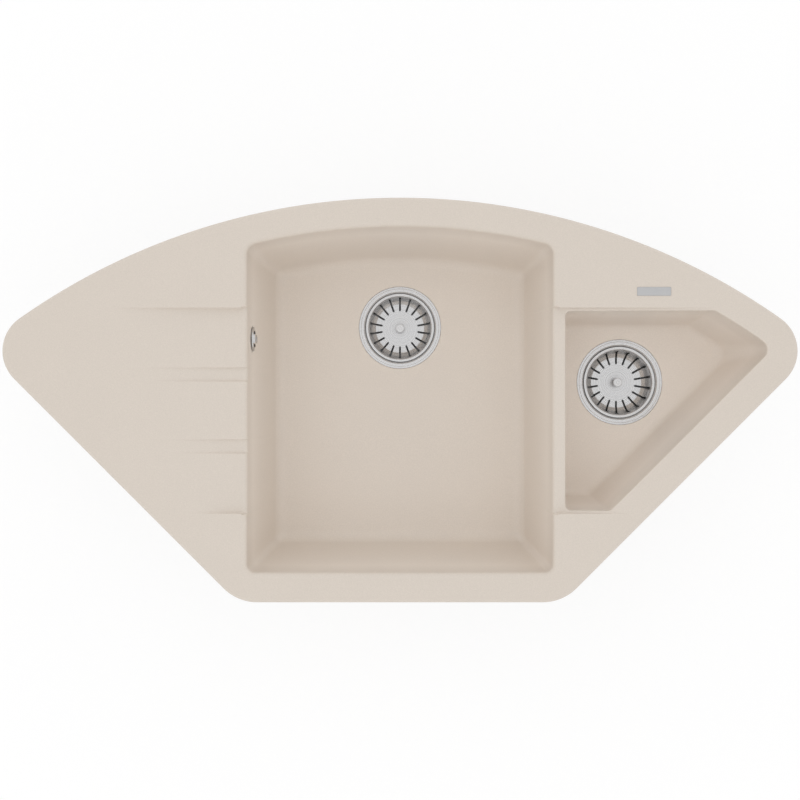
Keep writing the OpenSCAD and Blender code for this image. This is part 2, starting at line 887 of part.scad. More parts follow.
module stopper_pin() {
    color(steel) translate([0, 0, -basket_under - pin_l])
        cylinder(r = pin_r, h = pin_l);
}

module stopper_seal() {
    foot = cup_h - steel_t - rest_gap;
    color(rubber) rotate_extrude()
        polygon([
            [seal_bore_r, -basket_under],
            [seal_bore_r, -basket_under - seal_disc_t],
            [seal_r - seal_lip_w - chamfer, -basket_under - seal_disc_t],
            [seal_r - seal_lip_w, -foot],
            [seal_r, -foot],
            [seal_r, 2 * chamfer - foot],
            [seal_r - chamfer, -basket_under]
        ]);
}

module basket() {
    top = basket_rim_z;
    wall_r = cup_r - steel_t - 2 * cup_play;
    foot_r = basket_low_r - (basket_low_r - basket_floor_r) / 4;
    color(steel) difference() {
        rotate_extrude()
            polygon([
                [0, -basket_under],
                [basket_floor_r, -basket_under],
                [foot_r + basket_t, basket_foot_h / 2 - basket_under],
                [basket_low_r + basket_t, basket_foot_h - basket_under],
                [wall_r, top - basket_t - basket_curl_h],
                [basket_r - basket_rim_w + basket_t, top - basket_t],
                [basket_r, top - basket_t],
                [basket_r, top],
                [basket_r - basket_rim_w, top],
                [wall_r - basket_t, top - basket_curl_h],
                [basket_low_r, basket_foot_h - basket_depth],
                [foot_r, basket_foot_h / 2 - basket_depth],
                [basket_floor_r - basket_t / 2, -basket_depth],
                [0, -basket_depth]
            ]);
        for (k = [0:slot_count - 1])
            rotate([0, 0, 90 + k * 360 / slot_count])
                translate([slot_from_r, -slot_w / 2, -basket_under - 1])
                    cube([basket_r, slot_w, basket_under + 1 - slot_top]);
    }
}

module basket_knob() {
    color(steel) rotate_extrude()
        polygon([
            [0, -basket_depth],
            [knob_stem_r, -basket_depth],
            [knob_stem_r, knob_h - knob_head_t - chamfer - basket_depth],
            [knob_r, knob_h - knob_head_t - basket_depth],
            [knob_r, knob_h - chamfer - basket_depth],
            [knob_r - chamfer, knob_h - basket_depth],
            [0, knob_h - basket_depth]
        ]);
}

module overflow_cover() {
    slot_y = bridge_w / 2 + cover_web + cover_slot_w / 2;
    color(chrome) translate([-spot_x, overflow_y, overflow_z])
        rotate([0, 90, 0])
            difference() {
                union() {
                    cylinder(r = cover_r, h = cover_t);
                    intersection() {
                        cylinder(r = cover_r - 1, h = cover_t + bridge_h);
                        translate([-cover_r, -bridge_w / 2, 0])
                            cube([2 * cover_r, bridge_w, cover_t + bridge_h]);
                    }
                }
                translate([0, 0, -1])
                    cylinder(r = cover_screw_r + thread_play, h = cover_t + bridge_h + 2);
                for (s = [-1, 1])
                    intersection() {
                        translate([0, 0, -1])
                            cylinder(r = overflow_hole_r - 1, h = cover_t + 2);
                        translate([-cover_r, s * slot_y - cover_slot_w / 2, -1])
                            cube([2 * cover_r, cover_slot_w, cover_t + 2]);
                    }
            }
}

module overflow_screw() {
    color(chrome) translate([-spot_x, overflow_y, overflow_z])
        rotate([0, 90, 0]) {
            translate([0, 0, cover_t + bridge_h])
                cylinder(r = 2 * cover_screw_r, h = cover_head_h);
            translate([0, 0, spot_x - elbow_x - elbow_flange_t])
                cylinder(r = cover_screw_r, h = elbow_x + elbow_flange_t - spot_x + cover_t + bridge_h + eps);
        }
}

module overflow_gasket() {
    color(rubber) translate([-pad_x - overflow_gasket_t, overflow_y, overflow_z])
        rotate([0, 90, 0])
            difference() {
                cylinder(r = elbow_flange_r, h = overflow_gasket_t);
                translate([0, 0, -1])
                    cylinder(r = overflow_hole_r, h = overflow_gasket_t + 2);
            }
}

module overflow_elbow() {
    flange_x = -elbow_x;
    in_r = elbow_r - elbow_wall;
    color(plastic) difference() {
        union() {
            translate([flange_x, overflow_y, overflow_z])
                rotate([0, 90, 0])
                    cylinder(r = elbow_flange_r, h = elbow_flange_t);
            translate([-elbow_x - elbow_l, overflow_y, overflow_z])
                rotate([0, 90, 0])
                    cylinder(r = elbow_r, h = elbow_l + eps);
            translate([-spigot_x, overflow_y, hose_top_z])
                cylinder(r = spigot_r, h = elbow_drop);
        }
        difference() {
            translate([elbow_wall - elbow_x - elbow_l, overflow_y, overflow_z])
                rotate([0, 90, 0])
                    cylinder(r = in_r, h = elbow_l + elbow_flange_t);
            translate([-elbow_x - elbow_flange_t, overflow_y - elbow_r, overflow_z - elbow_bar_h / 2])
                cube([2 * elbow_flange_t, 2 * elbow_r, elbow_bar_h]);
        }
        translate([-spigot_x, overflow_y, hose_top_z - 1])
            cylinder(r = hose_bore_r, h = elbow_drop + 1);
        translate([-elbow_x - 2 * elbow_flange_t, overflow_y, overflow_z])
            rotate([0, 90, 0])
                cylinder(r = cover_screw_r + thread_play, h = 4 * elbow_flange_t);
    }
}

// The hose runs straight down, round a quarter circle and level to the waste
hose_down = hose_top_z - inlet_z - hose_bend;
hose_arc = hose_bend * PI / 2;
hose_level = hose_run - hose_bend;
hose_l = hose_down + hose_arc + hose_level;
hose_dir = [-cos(inlet_a), -sin(inlet_a), 0];
hose_side = [sin(inlet_a), -cos(inlet_a), 0];
hose_start = [-spigot_x, overflow_y, hose_top_z];
hose_end_l = 2 * hose_r;
hose_ribs = floor((hose_l - 2 * hose_end_l) / hose_pitch);

function hose_angle(s) = 90 * min(1, max(0, (s - hose_down) / hose_arc));
function hose_point(s) =
    let (
        a = hose_angle(s),
        down = min(s, hose_down) + hose_bend * sin(a),
        along = hose_bend * (1 - cos(a)) + max(0, s - hose_down - hose_arc)
    )
    hose_start + along * hose_dir + [0, 0, -down];

function hose_ring(s, r) =
    let (a = hose_angle(s), across = cos(a) * hose_dir + [0, 0, sin(a)])
    [
        for (k = [0:7])
            hose_point(s) + r * (cos(45 * k + 22.5) * hose_side + sin(45 * k + 22.5) * across)
    ];

// A tube with a bore, from rings of points around its outside and its inside
module tube(outer, inner) {
    n = len(outer[0]);
    shift = len(outer) * n;
    points = concat([for (ring = outer) each ring], [for (ring = inner) each ring]);
    outer_faces = [
        for (k = [0:len(outer) - 2])
            for (i = [0:n - 1])
                let (a = k * n + i, b = k * n + (i + 1) % n)
                    each [[a, b, a + n], [b, b + n, a + n]]
    ];
    inner_faces = [
        for (k = [0:len(inner) - 2])
            for (i = [0:n - 1])
                let (a = shift + k * n + i, b = shift + k * n + (i + 1) % n)
                    each [[a, a + n, b], [b, a + n, b + n]]
    ];
    last = [(len(outer) - 1) * n, shift + (len(inner) - 1) * n];
    end_faces = [
        for (i = [0:n - 1])
            let (j = (i + 1) % n)
                each [
                    [i, shift + i, j], [j, shift + i, shift + j],
                    [last[0] + i, last[0] + j, last[1] + i],
                    [last[0] + j, last[1] + j, last[1] + i]
                ]
    ];
    polyhedron(points, concat(outer_faces, inner_faces, end_faces));
}

module overflow_hose() {
    rib_l = (hose_l - 2 * hose_end_l) / hose_ribs;
    outer = concat(
        [hose_ring(0, hose_valley_r)],
        [
            for (k = [0:hose_ribs - 1])
                each [
                    hose_ring(hose_end_l + k * rib_l, hose_valley_r),
                    hose_ring(hose_end_l + (k + 0.5) * rib_l, hose_r)
                ]
        ],
        [hose_ring(hose_l - hose_end_l, hose_valley_r), hose_ring(hose_l, hose_valley_r)]
    );
    inner = concat(
        [hose_ring(0, hose_bore_r)],
        [for (k = [0:12]) hose_ring(hose_down + hose_arc * k / 12, hose_bore_r)],
        [hose_ring(hose_l, hose_bore_r)]
    );
    color(grey_plastic) tube(outer, inner);
}

module hose_nut() {
    difference() {
        translate([0, 0, -nut_l / 2])
            cylinder(r = nut_r, h = nut_l);
        translate([0, 0, -nut_l / 2 - 1])
            cylinder(r = spigot_r + nut_gap, h = nut_l + 2);
    }
}

module overflow_upper_nut() {
    color(grey_plastic) translate(hose_start)
        hose_nut();
}

module overflow_lower_nut() {
    color(grey_plastic) translate(main_drain)
        rotate([0, 0, inlet_a])
            translate([inlet_end, 0, -inlet_depth])
                rotate([0, 90, 0])
                    hose_nut();
}

module clip_inserts() {
    color(brass) for (k = [0:len(CLIPS) - 1])
        on_clip(k)
            translate([0, 0, lug_low])
                difference() {
                    cylinder(r = clip_insert_r - thread_play, h = clip_insert_l);
                    translate([0, 0, -1])
                        cylinder(r = clip_screw_r + thread_play, h = clip_insert_l + 2);
                }
}

module clip_screw(k) {
    color(steel) on_clip(k) {
        translate([0, 0, claw_low - clip_head_h])
            cylinder(r = clip_head_r, h = clip_head_h - rest_gap, $fn = 6);
        translate([0, 0, claw_low - clip_head_h])
            cylinder(r = clip_screw_r, h = clip_screw_top - claw_low + clip_head_h);
    }
}

module clip_claw(k) {
    color(steel) on_clip(k)
        translate([0, 0, claw_low])
            difference() {
                union() {
                    cylinder(r = claw_w / 2, h = claw_t);
                    translate([0, -claw_w / 2, 0])
                        cube([claw_reach, claw_w, claw_t]);
                    translate([claw_reach - claw_t, -claw_w / 2, 0])
                        cube([claw_t, claw_w, claw_t + claw_tip_h]);
                }
                translate([0, 0, -1])
                    cylinder(r = clip_screw_r + claw_play, h = claw_t + 2);
            }
}

module on_main() {
    translate(main_drain)
        children();
}

module on_small() {
    translate(small_drain)
        children();
}

sink_body();
rim_seal();
badge_plate();
on_main() strainer_cup();  // main_strainer_cup
on_main() cup_gasket();  // main_cup_gasket
on_main() lower_gasket();  // main_lower_gasket
main_waste_body();
on_main() clamp_screw();  // main_clamp_screw
on_main() waste_insert();  // main_waste_insert
on_main() stopper_pin();  // main_stopper_pin
on_main() stopper_seal();  // main_stopper_seal
on_main() basket();  // main_basket
on_main() basket_knob();  // main_basket_knob
on_small() strainer_cup();  // small_strainer_cup
on_small() cup_gasket();  // small_cup_gasket
on_small() lower_gasket();  // small_lower_gasket
small_waste_body();
on_small() clamp_screw();  // small_clamp_screw
on_small() waste_insert();  // small_waste_insert
on_small() stopper_pin();  // small_stopper_pin
on_small() stopper_seal();  // small_stopper_seal
on_small() basket();  // small_basket
on_small() basket_knob();  // small_basket_knob
overflow_cover();
overflow_screw();
overflow_gasket();
overflow_elbow();
overflow_hose();
overflow_upper_nut();
overflow_lower_nut();
clip_inserts();
clip_screw(0);  // clip_screw_1
clip_screw(1);  // clip_screw_2
clip_screw(2);  // clip_screw_3
clip_screw(3);  // clip_screw_4
clip_screw(4);  // clip_screw_5
clip_screw(5);  // clip_screw_6
clip_claw(0);  // clip_claw_1
clip_claw(1);  // clip_claw_2
clip_claw(2);  // clip_claw_3
clip_claw(3);  // clip_claw_4
clip_claw(4);  // clip_claw_5
clip_claw(5);  // clip_claw_6
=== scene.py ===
"""A corner kitchen sink in pale composite stone, made as a Blender add-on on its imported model."""

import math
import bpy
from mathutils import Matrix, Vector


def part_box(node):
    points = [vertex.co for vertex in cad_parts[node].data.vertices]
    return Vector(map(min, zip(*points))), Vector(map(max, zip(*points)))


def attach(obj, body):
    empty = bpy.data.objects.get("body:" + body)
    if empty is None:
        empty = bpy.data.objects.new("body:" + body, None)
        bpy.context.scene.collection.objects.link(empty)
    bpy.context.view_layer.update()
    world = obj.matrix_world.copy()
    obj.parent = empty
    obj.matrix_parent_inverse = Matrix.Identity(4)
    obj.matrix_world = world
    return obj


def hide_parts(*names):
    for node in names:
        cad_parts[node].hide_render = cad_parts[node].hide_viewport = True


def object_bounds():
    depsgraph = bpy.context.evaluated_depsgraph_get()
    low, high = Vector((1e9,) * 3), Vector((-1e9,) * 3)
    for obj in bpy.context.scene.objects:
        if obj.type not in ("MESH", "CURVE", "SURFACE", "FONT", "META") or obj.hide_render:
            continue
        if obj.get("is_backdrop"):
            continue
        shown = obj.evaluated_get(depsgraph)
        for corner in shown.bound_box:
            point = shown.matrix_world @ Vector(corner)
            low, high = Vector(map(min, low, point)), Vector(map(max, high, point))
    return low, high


bl_info = {
    "name": "Kitchen Sink",
    "version": (1, 0, 0),
    "blender": (4, 5, 0),
    "location": "3D View > Sidebar > Sink",
    "description": "Builds a corner kitchen sink with its wastes, overflow and clips",
    "category": "Add Mesh",
}

import bmesh
import bpy
import numpy as np
from bpy.props import FloatProperty, FloatVectorProperty, IntProperty, PointerProperty
from mathutils import Matrix, Vector
from mathutils.geometry import delaunay_2d_cdt

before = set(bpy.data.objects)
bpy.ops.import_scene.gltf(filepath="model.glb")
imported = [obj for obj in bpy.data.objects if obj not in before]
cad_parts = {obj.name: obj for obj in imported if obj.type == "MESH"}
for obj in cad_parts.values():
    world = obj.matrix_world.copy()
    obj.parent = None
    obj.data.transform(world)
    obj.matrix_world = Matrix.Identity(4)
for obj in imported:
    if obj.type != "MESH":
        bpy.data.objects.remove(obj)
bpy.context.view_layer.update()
ROOT = "sink"
DRAINS = ("main", "small")

# How far a tool passes the face that it cuts, and how far a joined part goes into the other
OVERLAP = 0.001
# Play between a thread and the bore round it
PLAY = 0.00005
# Width of the edge that the rim's ring covers, where the deck's mesh begins
RIM_RING = 0.0095


# Sizes and colours

def length(name, description, default):
    """A size in metres that the user can change"""
    return FloatProperty(name=name, description=description, default=default, unit="LENGTH")


def colour_of(name, description, default):
    """A colour that the user can change"""
    return FloatVectorProperty(name=name, description=description, default=default, subtype="COLOR")


def number(name, description, default):
    """A count that the user can change"""
    return IntProperty(name=name, description=description, default=default)


def level_of(name, description, default):
    """A plain value that the user can change"""
    return FloatProperty(name=name, description=description, default=default)


class RimSizes(bpy.types.PropertyGroup):
    """The outline and the edge of the sink"""
    width: length("Width", "Width that the tips are laid out on", 1.0)
    depth: length("Depth", "Depth from the front to the back", 0.509)
    front: length("Front", "Width of the front between the slanted sides", 0.409)
    tip_r: length("Tip radius", "Radius of the two tips", 0.05)
    front_r: length("Front radius", "Radius of the front corners", 0.06)
    height: length("Height", "Height of the rim over the worktop", 0.009)
    edge_r: length("Edge radius", "Rounding of the rim's upper edge", 0.006)
    foot_r: length("Lower edge radius", "Rounding of the rim's lower edge", 0.001)
    lip: length("Lip", "Width of the lip that rests on the worktop", 0.014)
    sunk: length("Sunk height", "Height of the deck below the worktop", 0.007)
    seal_in: length("Seal inset", "Distance of the seal from the edge", 0.004)
    seal_w: length("Seal width", "Width of the rim seal", 0.006)
    seal_h: length("Seal height", "Height of the rim seal", 0.002)
    tap_x: length("Tap place", "Place of the tap recesses beside the middle", 0.262)
    tap_y: length("Tap row", "Place of the tap recesses behind the middle", 0.16)
    tap_r: length("Tap radius", "Radius of the tap recesses", 0.0175)
    tap_cap: length("Tap skin", "Stone left over a tap recess", 0.005)


class BowlSizes(bpy.types.PropertyGroup):
    """The two bowls"""
    main_w: length("Main width", "Width of the main bowl", 0.3845)
    main_depth: length("Main depth", "Depth of the main bowl", 0.2)
    small_depth: length("Small depth", "Depth of the small bowl", 0.124)
    rim_back: length("Back rim", "Deck behind the bowls", 0.037)
    rim_front: length("Front rim", "Deck in front of the main bowl", 0.038)
    rim_side: length("Side rim", "Deck beside the small bowl", 0.0395)
    divider: length("Divider", "Width of the divider between the bowls", 0.01625)
    draft: FloatProperty(
        name="Draft", description="Lean of the walls", default=math.radians(3), subtype="ANGLE")
    wall: length("Wall", "Thickness of the walls", 0.0085)
    floor_t: length("Floor", "Thickness of the floors", 0.01)
    floor_r: length("Main floor radius", "Rounding at the foot of the main bowl's walls", 0.018)
    small_floor_r: length("Small floor radius", "Rounding at the foot of the small bowl's walls", 0.013)
    main_lean: length("Main lean", "Further lean of the main bowl's walls at their foot", 0.008)
    small_lean: length("Small lean", "Further lean of the small bowl's slanted wall at its foot", 0.008)
    side_lean: level_of("Side lean", "Share of that lean at the small bowl's back and front", 0.57)
    edge_r: length("Main edge radius", "Rounding of the main bowl's edge", 0.006)
    small_edge_r: length("Small edge radius", "Rounding of the small bowl's edge", 0.0016)
    back_r: length("Main back radius", "Main bowl's back corners", 0.013)
    front_r: length("Main front radius", "Main bowl's front corners", 0.01)
    small_tip_r: length("Small tip radius", "Small bowl's right corner", 0.013)
    small_corner_r: length("Small corner radius", "Small bowl's other corners", 0.007)
    boss_r: length("Boss radius", "Radius of the boss round a drain", 0.0593)
    boss_h: length("Boss height", "Height of the boss round a drain", 0.014)


class DrainerSizes(bpy.types.PropertyGroup):
    """The sunken band with the two drain grooves"""
    back: length("Back edge", "Back edge of the band behind the middle", 0.1153)
    front: length("Front edge", "Front edge of the band before the middle", 0.1421)
    depth: length("Depth", "Depth of the band at the bowls", 0.008)
    left_back: length("Left back", "Left start of the band at its back", 0.361)
    left_front: length("Left front", "Left start of the band at its front", 0.252)
    right_back: length("Right back", "Right end of the band at its back", 0.406)
    right_front: length("Right front", "Right end of the band at its front", 0.278)
    ledge: length("Ledge", "Ledge between the band's edge and the small bowl", 0.003)
    corner_r: length("Corner radius", "Rounding of the step's corners at the bowl", 0.004)
    step_w: length("Step width", "Width of the sloping step", 0.0011)
    hinge: length("Hinge", "Width of the soft start of the band", 0.01)
    groove_w: length("Groove width", "Width of a groove", 0.0172)
    groove_depth: length("Groove depth", "Depth of a groove at the bowl", 0.0032)
    groove_side: length("Groove side", "Width of a groove's sloping side", 0.0006)
    groove_back_y: length("Back groove", "Place of the back groove", 0.0321)
    groove_front_y: length("Front groove", "Place of the front groove", -0.0585)


class StrainerSizes(bpy.types.PropertyGroup):
    """The cups in the drains and their baskets"""
    flange_r: length("Flange radius", "Radius of the flange", 0.0572)
    steel_t: length("Steel", "Thickness of the cup's sheet", 0.001)
    lip_r: length("Lip radius", "Radius of the step on a cup's flange", 0.0545)
    dish_r: length("Dish radius", "Radius where the dish begins", 0.0506)
    dish_h: length("Dish height", "Height of the dish", 0.0076)
    hole_r: length("Hole radius", "Radius of the hole in the bowl", 0.0455)
    play: length("Play", "Radial play of the cup in its hole", 0.0003)
    cup_h: length("Cup height", "Height of the cup", 0.037)
    outlet_r: length("Outlet radius", "Radius of a hole in the cup's floor", 0.005)
    outlet_pitch_r: length("Outlet circle", "Radius of the circle of those holes", 0.023)
    outlet_count: number("Outlets", "Number of those holes", 8)
    seat: length("Seat", "Depth of the rebate under the flange", 0.0022)
    basket_r: length("Basket radius", "Outer radius of the basket", 0.0478)
    basket_t: length("Basket steel", "Thickness of the basket's sheet", 0.0008)
    basket_rim: length("Basket rim", "Width of the basket's rim", 0.0034)
    basket_curl: length("Basket curl", "Height of the basket's curled rim", 0.003)
    low_r: length("Basket low radius", "Radius at the foot of the wall", 0.0415)
    floor_r: length("Basket floor radius", "Radius of the basket's floor", 0.0345)
    foot_h: length("Basket foot", "Height of the basket's sloping foot", 0.0075)
    slot_count: number("Slots", "Number of slots in a basket", 18)
    slot_w: length("Slot width", "Width of a slot", 0.0026)
    slot_from: length("Slot start", "Radius where the slots begin", 0.025)
    slot_top: length("Slot top", "Depth where the slots end", 0.006)
    knob_r: length("Knob radius", "Radius of the knob's head", 0.006)
    knob_stem_r: length("Knob stem", "Radius of the knob's stem", 0.003)
    seal_r: length("Seal radius", "Radius of the stopper's seal", 0.034)
    seal_bore_r: length("Seal bore", "Radius of the seal's bore", 0.011)
    pin_r: length("Pin radius", "Radius of the stopper's pin", 0.003)


class WasteSizes(bpy.types.PropertyGroup):
    """The wastes under the bowls"""
    top: length("Top", "Depth of the waste's flange below the drain", 0.0165)
    flange_r: length("Flange radius", "Radius of the waste's flange", 0.06)
    flange_t: length("Flange", "Thickness of the waste's flange", 0.005)
    bore_r: length("Bore", "Inner radius of the waste", 0.0465)
    wall: length("Wall", "Wall of the waste", 0.0035)
    wall_h: length("Wall depth", "Depth of the waste's straight wall", 0.05)
    thread_top: length("Thread top", "Depth where the outlet's thread begins", 0.064)
    thread_l: length("Thread length", "Length of the outlet's thread", 0.025)
    thread_r: length("Thread radius", "Outer radius of the outlet's thread", 0.0239)
    thread_pitch: length("Thread pitch", "Pitch of the outlet's thread", 0.0024)
    outlet_r: length("Outlet bore", "Inner radius of the outlet", 0.0195)
    hub_r: length("Hub radius", "Radius of the hub for the screw", 0.012)
    hub_h: length("Hub height", "Height of the hub", 0.016)
    hub_top: length("Hub top", "Depth of the hub's top below the drain", 0.046)
    rib_t: length("Rib", "Thickness of the hub's ribs", 0.004)
    screw_r: length("Screw radius", "Radius of the clamp screw", 0.005)
    screw_l: length("Screw length", "Length of the clamp screw", 0.026)
    head_r: length("Head radius", "Radius of the clamp screw's head", 0.009)
    head_h: length("Head height", "Height of the clamp screw's head", 0.004)
    insert_r: length("Insert radius", "Radius of the brass insert", 0.008)
    spigot_r: length("Spigot radius", "Radius of the hose spigots", 0.011)
    spigot_bore_r: length("Spigot bore", "Bore of the hose spigots", 0.008)
    spigot_end: length("Spigot reach", "Reach of the main waste's spigot", 0.074)
    spigot_drop: length("Spigot drop", "Depth of the main waste's spigot", 0.034)


class OverflowSizes(bpy.types.PropertyGroup):
    """The overflow with its cover, elbow and hose"""
    hole_r: length("Hole radius", "Radius of the hole in the wall", 0.013)
    cover_r: length("Cover radius", "Radius of the cover", 0.0158)
    cover_t: length("Cover", "Thickness of the cover's plate", 0.0025)
    cover_out: length("Cover place", "How far the cover stands in from its solid", 0.0012)
    bridge_w: length("Bridge width", "Width of the bridge over the cover", 0.011)
    bridge_h: length("Bridge height", "Height of the bridge over the cover", 0.002)
    slot_w: length("Slot width", "Width of the cover's slots", 0.004)
    screw_r: length("Screw radius", "Radius of the cover's screw", 0.0025)
    pad_r: length("Pad radius", "Radius of the pad behind the wall", 0.02)
    elbow_flange_r: length("Elbow flange", "Radius of the elbow's flange", 0.019)
    elbow_flange_t: length("Flange", "Thickness of the elbow's flange", 0.003)
    elbow_r: length("Elbow radius", "Radius of the elbow's chamber", 0.015)
    elbow_wall: length("Elbow wall", "Wall of the elbow", 0.0025)
    bar_h: length("Bar", "Height of the bar that holds the screw", 0.006)
    hose_r: length("Hose radius", "Radius of the hose over its ribs", 0.0114)
    valley_r: length("Hose valley", "Radius of the hose between its ribs", 0.0097)
    bore_r: length("Hose bore", "Radius of the hose's bore", 0.008)
    pitch: length("Hose pitch", "Distance between the hose's ribs", 0.0045)
    bend: length("Hose bend", "Radius of the hose's bend", 0.09)
    nut_r: length("Nut radius", "Radius of the hose nuts", 0.0155)
    nut_l: length("Nut length", "Length of the hose nuts", 0.022)


class ClipSizes(bpy.types.PropertyGroup):
    """The clips that pull the sink onto the worktop"""
    lug_r: length("Lug radius", "Radius of the moulded lugs", 0.0075)
    lug_h: length("Lug height", "Height of the moulded lugs", 0.015)
    insert_r: length("Insert radius", "Radius of the inserts", 0.005)
    screw_r: length("Screw radius", "Radius of the screws", 0.003)
    head_r: length("Head radius", "Radius of the screws' heads", 0.006)
    head_h: length("Head height", "Height of the screws' heads", 0.004)
    reach: length("Reach", "Reach of a claw", 0.02)
    claw_w: length("Claw width", "Width of a claw", 0.012)
    claw_t: length("Claw steel", "Thickness of a claw", 0.003)
    tip_h: length("Tip height", "Height of a claw's tip", 0.009)
    low: length("Claw height", "Height of the claws' undersides at rest", -0.05)


class Finishes(bpy.types.PropertyGroup):
    """The colours of the finishes"""
    stone: colour_of("Stone", "Composite stone", (0.694, 0.624, 0.552))
    steel: colour_of("Steel", "Stainless steel", (0.67, 0.672, 0.68))
    chrome: colour_of("Chrome", "Chrome plating", (0.6, 0.6, 0.605))
    zinc: colour_of("Zinc", "Zinc-plated steel", (0.52, 0.53, 0.54))
    brass: colour_of("Brass", "Brass of the inserts", (0.62, 0.42, 0.17))
    rubber: colour_of("Rubber", "Black rubber", (0.02, 0.02, 0.021))
    plastic: colour_of("White plastic", "Moulded white plastic", (0.8, 0.8, 0.78))
    grey_plastic: colour_of("Grey plastic", "Moulded grey plastic", (0.26, 0.27, 0.28))
    # The next two are painted light: factors that make the stone's colour paler deep in the main bowl and
    # in the small one, in place of the light that the bowls' walls keep out
    inside_tone: FloatVectorProperty(
        name="Inside tone", description="Paleness of the stone deep in the bowls",
        default=(1.19, 1.215, 1.245))
    small_tone: FloatVectorProperty(
        name="Small bowl tone", description="Paleness of the stone deep in the small bowl",
        default=(1.24, 1.265, 1.3))


class StageSettings(bpy.types.PropertyGroup):
    """The floor, the light and the camera"""
    floor: colour_of("Floor", "Colour of the floor", (0.86, 0.86, 0.86))
    floor_size: length("Floor size", "Width of the floor", 8.0)
    sky: colour_of("Sky", "Colour of the light all round", (1.0, 1.0, 1.0))
    sky_level: level_of("Sky level", "Level of the light overhead", 0.53)
    horizon_level: level_of("Horizon level", "Level of the light near the horizon", 1.36)
    lamp_size: length("Lamp size", "Width of the soft lamp", 3.4)
    lamp_power: FloatProperty(
        name="Lamp power", description="Power of the soft lamp", default=16.0, unit="POWER")
    lamp_place: FloatVectorProperty(
        name="Lamp place", description="Place of the soft lamp", default=(-0.2, -0.05, 2.6), subtype="XYZ")
    lens: level_of("Lens", "Focal length in millimetres", 61.2)
    camera_height: length("Camera height", "Height of the camera over the worktop", 1.714)


# Mesh helpers

def angles(start, end, count):
    """Evenly spaced angles between two angles in degrees"""
    return np.radians(np.linspace(start, end, count))


def around(turn):
    """Points of a circle of radius one at some angles"""
    return np.stack([np.cos(turn), np.sin(turn)], 1)


def circle(x, y, r, start, end, steps):
    """Points of an arc between two angles in degrees"""
    return np.array([x, y]) + r * around(angles(start, end, steps + 1))


def ring_of(arcs, fills):
    """A closed ring of arcs, with points between them: a count, none and joined (-1), or rows"""
    runs = [circle(*arc) for arc in arcs]
    points = []
    for k, fill in enumerate(fills):
        last = runs[k][-1]
        after = runs[(k + 1) % len(runs)][0]
        if isinstance(fill, int):
            share = np.linspace(0, 1, max(fill, 0) + 2)[1:-1, None]
            points += [runs[k][:-1] if fill < 0 else runs[k], last + (after - last) * share]
        else:
            lead = np.array([1, 2]) / 3
            rows = np.concatenate([
                last[1] + (fill[0] - last[1]) * lead, fill, fill[-1] + (after[1] - fill[-1]) * lead])
            points += [runs[k], np.stack([np.full(len(rows), last[0]), rows], 1)]
    return np.concatenate(points)


def lift(ring, z):
    """A flat ring as points at a height"""
    return np.column_stack([ring, np.broadcast_to(z, len(ring))])


def skin(rings):
    """Points and faces of the surface through closed rings of equal length"""
    index = np.arange(len(rings) * len(rings[0])).reshape(len(rings), -1)
    low, high = index[:-1], index[1:]
    faces = np.stack([low, np.roll(low, -1, 1), np.roll(high, -1, 1), high], -1)
    return np.concatenate(rings), faces.reshape(-1, 4).tolist()


def closed_ends(part, n):
    """A part whose first and last rings, of n points each, are closed by flat faces"""
    points, faces = part
    last = len(points) - n
    return points, faces + [list(range(n))[::-1], list(range(last, last + n))]


def hexagon(r):
    """The ring of a hexagon between its corners"""
    return r * around(np.radians(np.arange(0, 360, 60)))


def inside(points, ring):
    """Whether flat points lie inside a ring"""
    x, y = points[:, :1], points[:, 1:2]
    x0, y0 = ring[:, 0], ring[:, 1]
    x1, y1 = np.roll(x0, -1), np.roll(y0, -1)
    crosses = (y0 > y) != (y1 > y)
    with np.errstate(divide="ignore", invalid="ignore"):
        left = x < (x1 - x0) * (y - y0) / (y1 - y0) + x0
    return np.count_nonzero(crosses & left, axis=1) % 2 == 1


def spread(marks, gap):
    """Sorted marks, with even steps put where two of them are further apart than a gap"""
    marks = np.unique(np.round(marks, 7))
    out = [marks[:1]]
    for low, high in zip(marks[:-1], marks[1:]):
        steps = max(1, math.ceil((high - low) / gap))
        out.append(np.linspace(low, high, steps + 1)[1:])
    return np.concatenate(out)


def new_object(name, mesh):
    """An object of the scene with a mesh"""
    piece = bpy.data.objects.new(name, mesh)
    bpy.context.scene.collection.objects.link(piece)
    return piece


def wire_piece(name, points, edges=()):
    """An object of bare points and edges, for a node tree to work on"""
    mesh = bpy.data.meshes.new(name)
    mesh.from_pydata(points, edges, [])
    return new_object(name, mesh)


def make_piece(name, parts, kinds=None):
    """A mesh object from parts, each of points and faces, with a material number for each part"""
    points, faces, numbers, start = [], [], [], 0
    for k, (part_points, part_faces) in enumerate(parts):
        points.append(np.asarray(part_points, float).reshape(-1, 3))
        faces += [[start + i for i in face] for face in part_faces]
        numbers += [kinds[k] if kinds else 0] * len(part_faces)
        start += len(points[-1])
    mesh = bpy.data.meshes.new(name)
    mesh.from_pydata(np.concatenate(points).tolist(), [], faces)
    mesh.polygons.foreach_set("material_index", numbers)
    close_mesh(mesh)
    return new_object(name, mesh)


def close_mesh(mesh):
    """Merge doubled points, drop empty faces and turn the faces outwards"""
    work = bmesh.new()
    work.from_mesh(mesh)
    bmesh.ops.remove_doubles(work, verts=work.verts, dist=2e-6)
    bmesh.ops.dissolve_degenerate(work, edges=work.edges, dist=1e-7)
    bmesh.ops.recalc_face_normals(work, faces=work.faces)
    work.to_mesh(mesh)
    work.free()


def settle(piece):
    """Keep the result of a piece's modifiers as its plain mesh"""
    graph = bpy.context.evaluated_depsgraph_get()
    mesh = bpy.data.meshes.new_from_object(piece.evaluated_get(graph))
    piece.modifiers.clear()
    piece.data = mesh
    mesh.name = piece.name


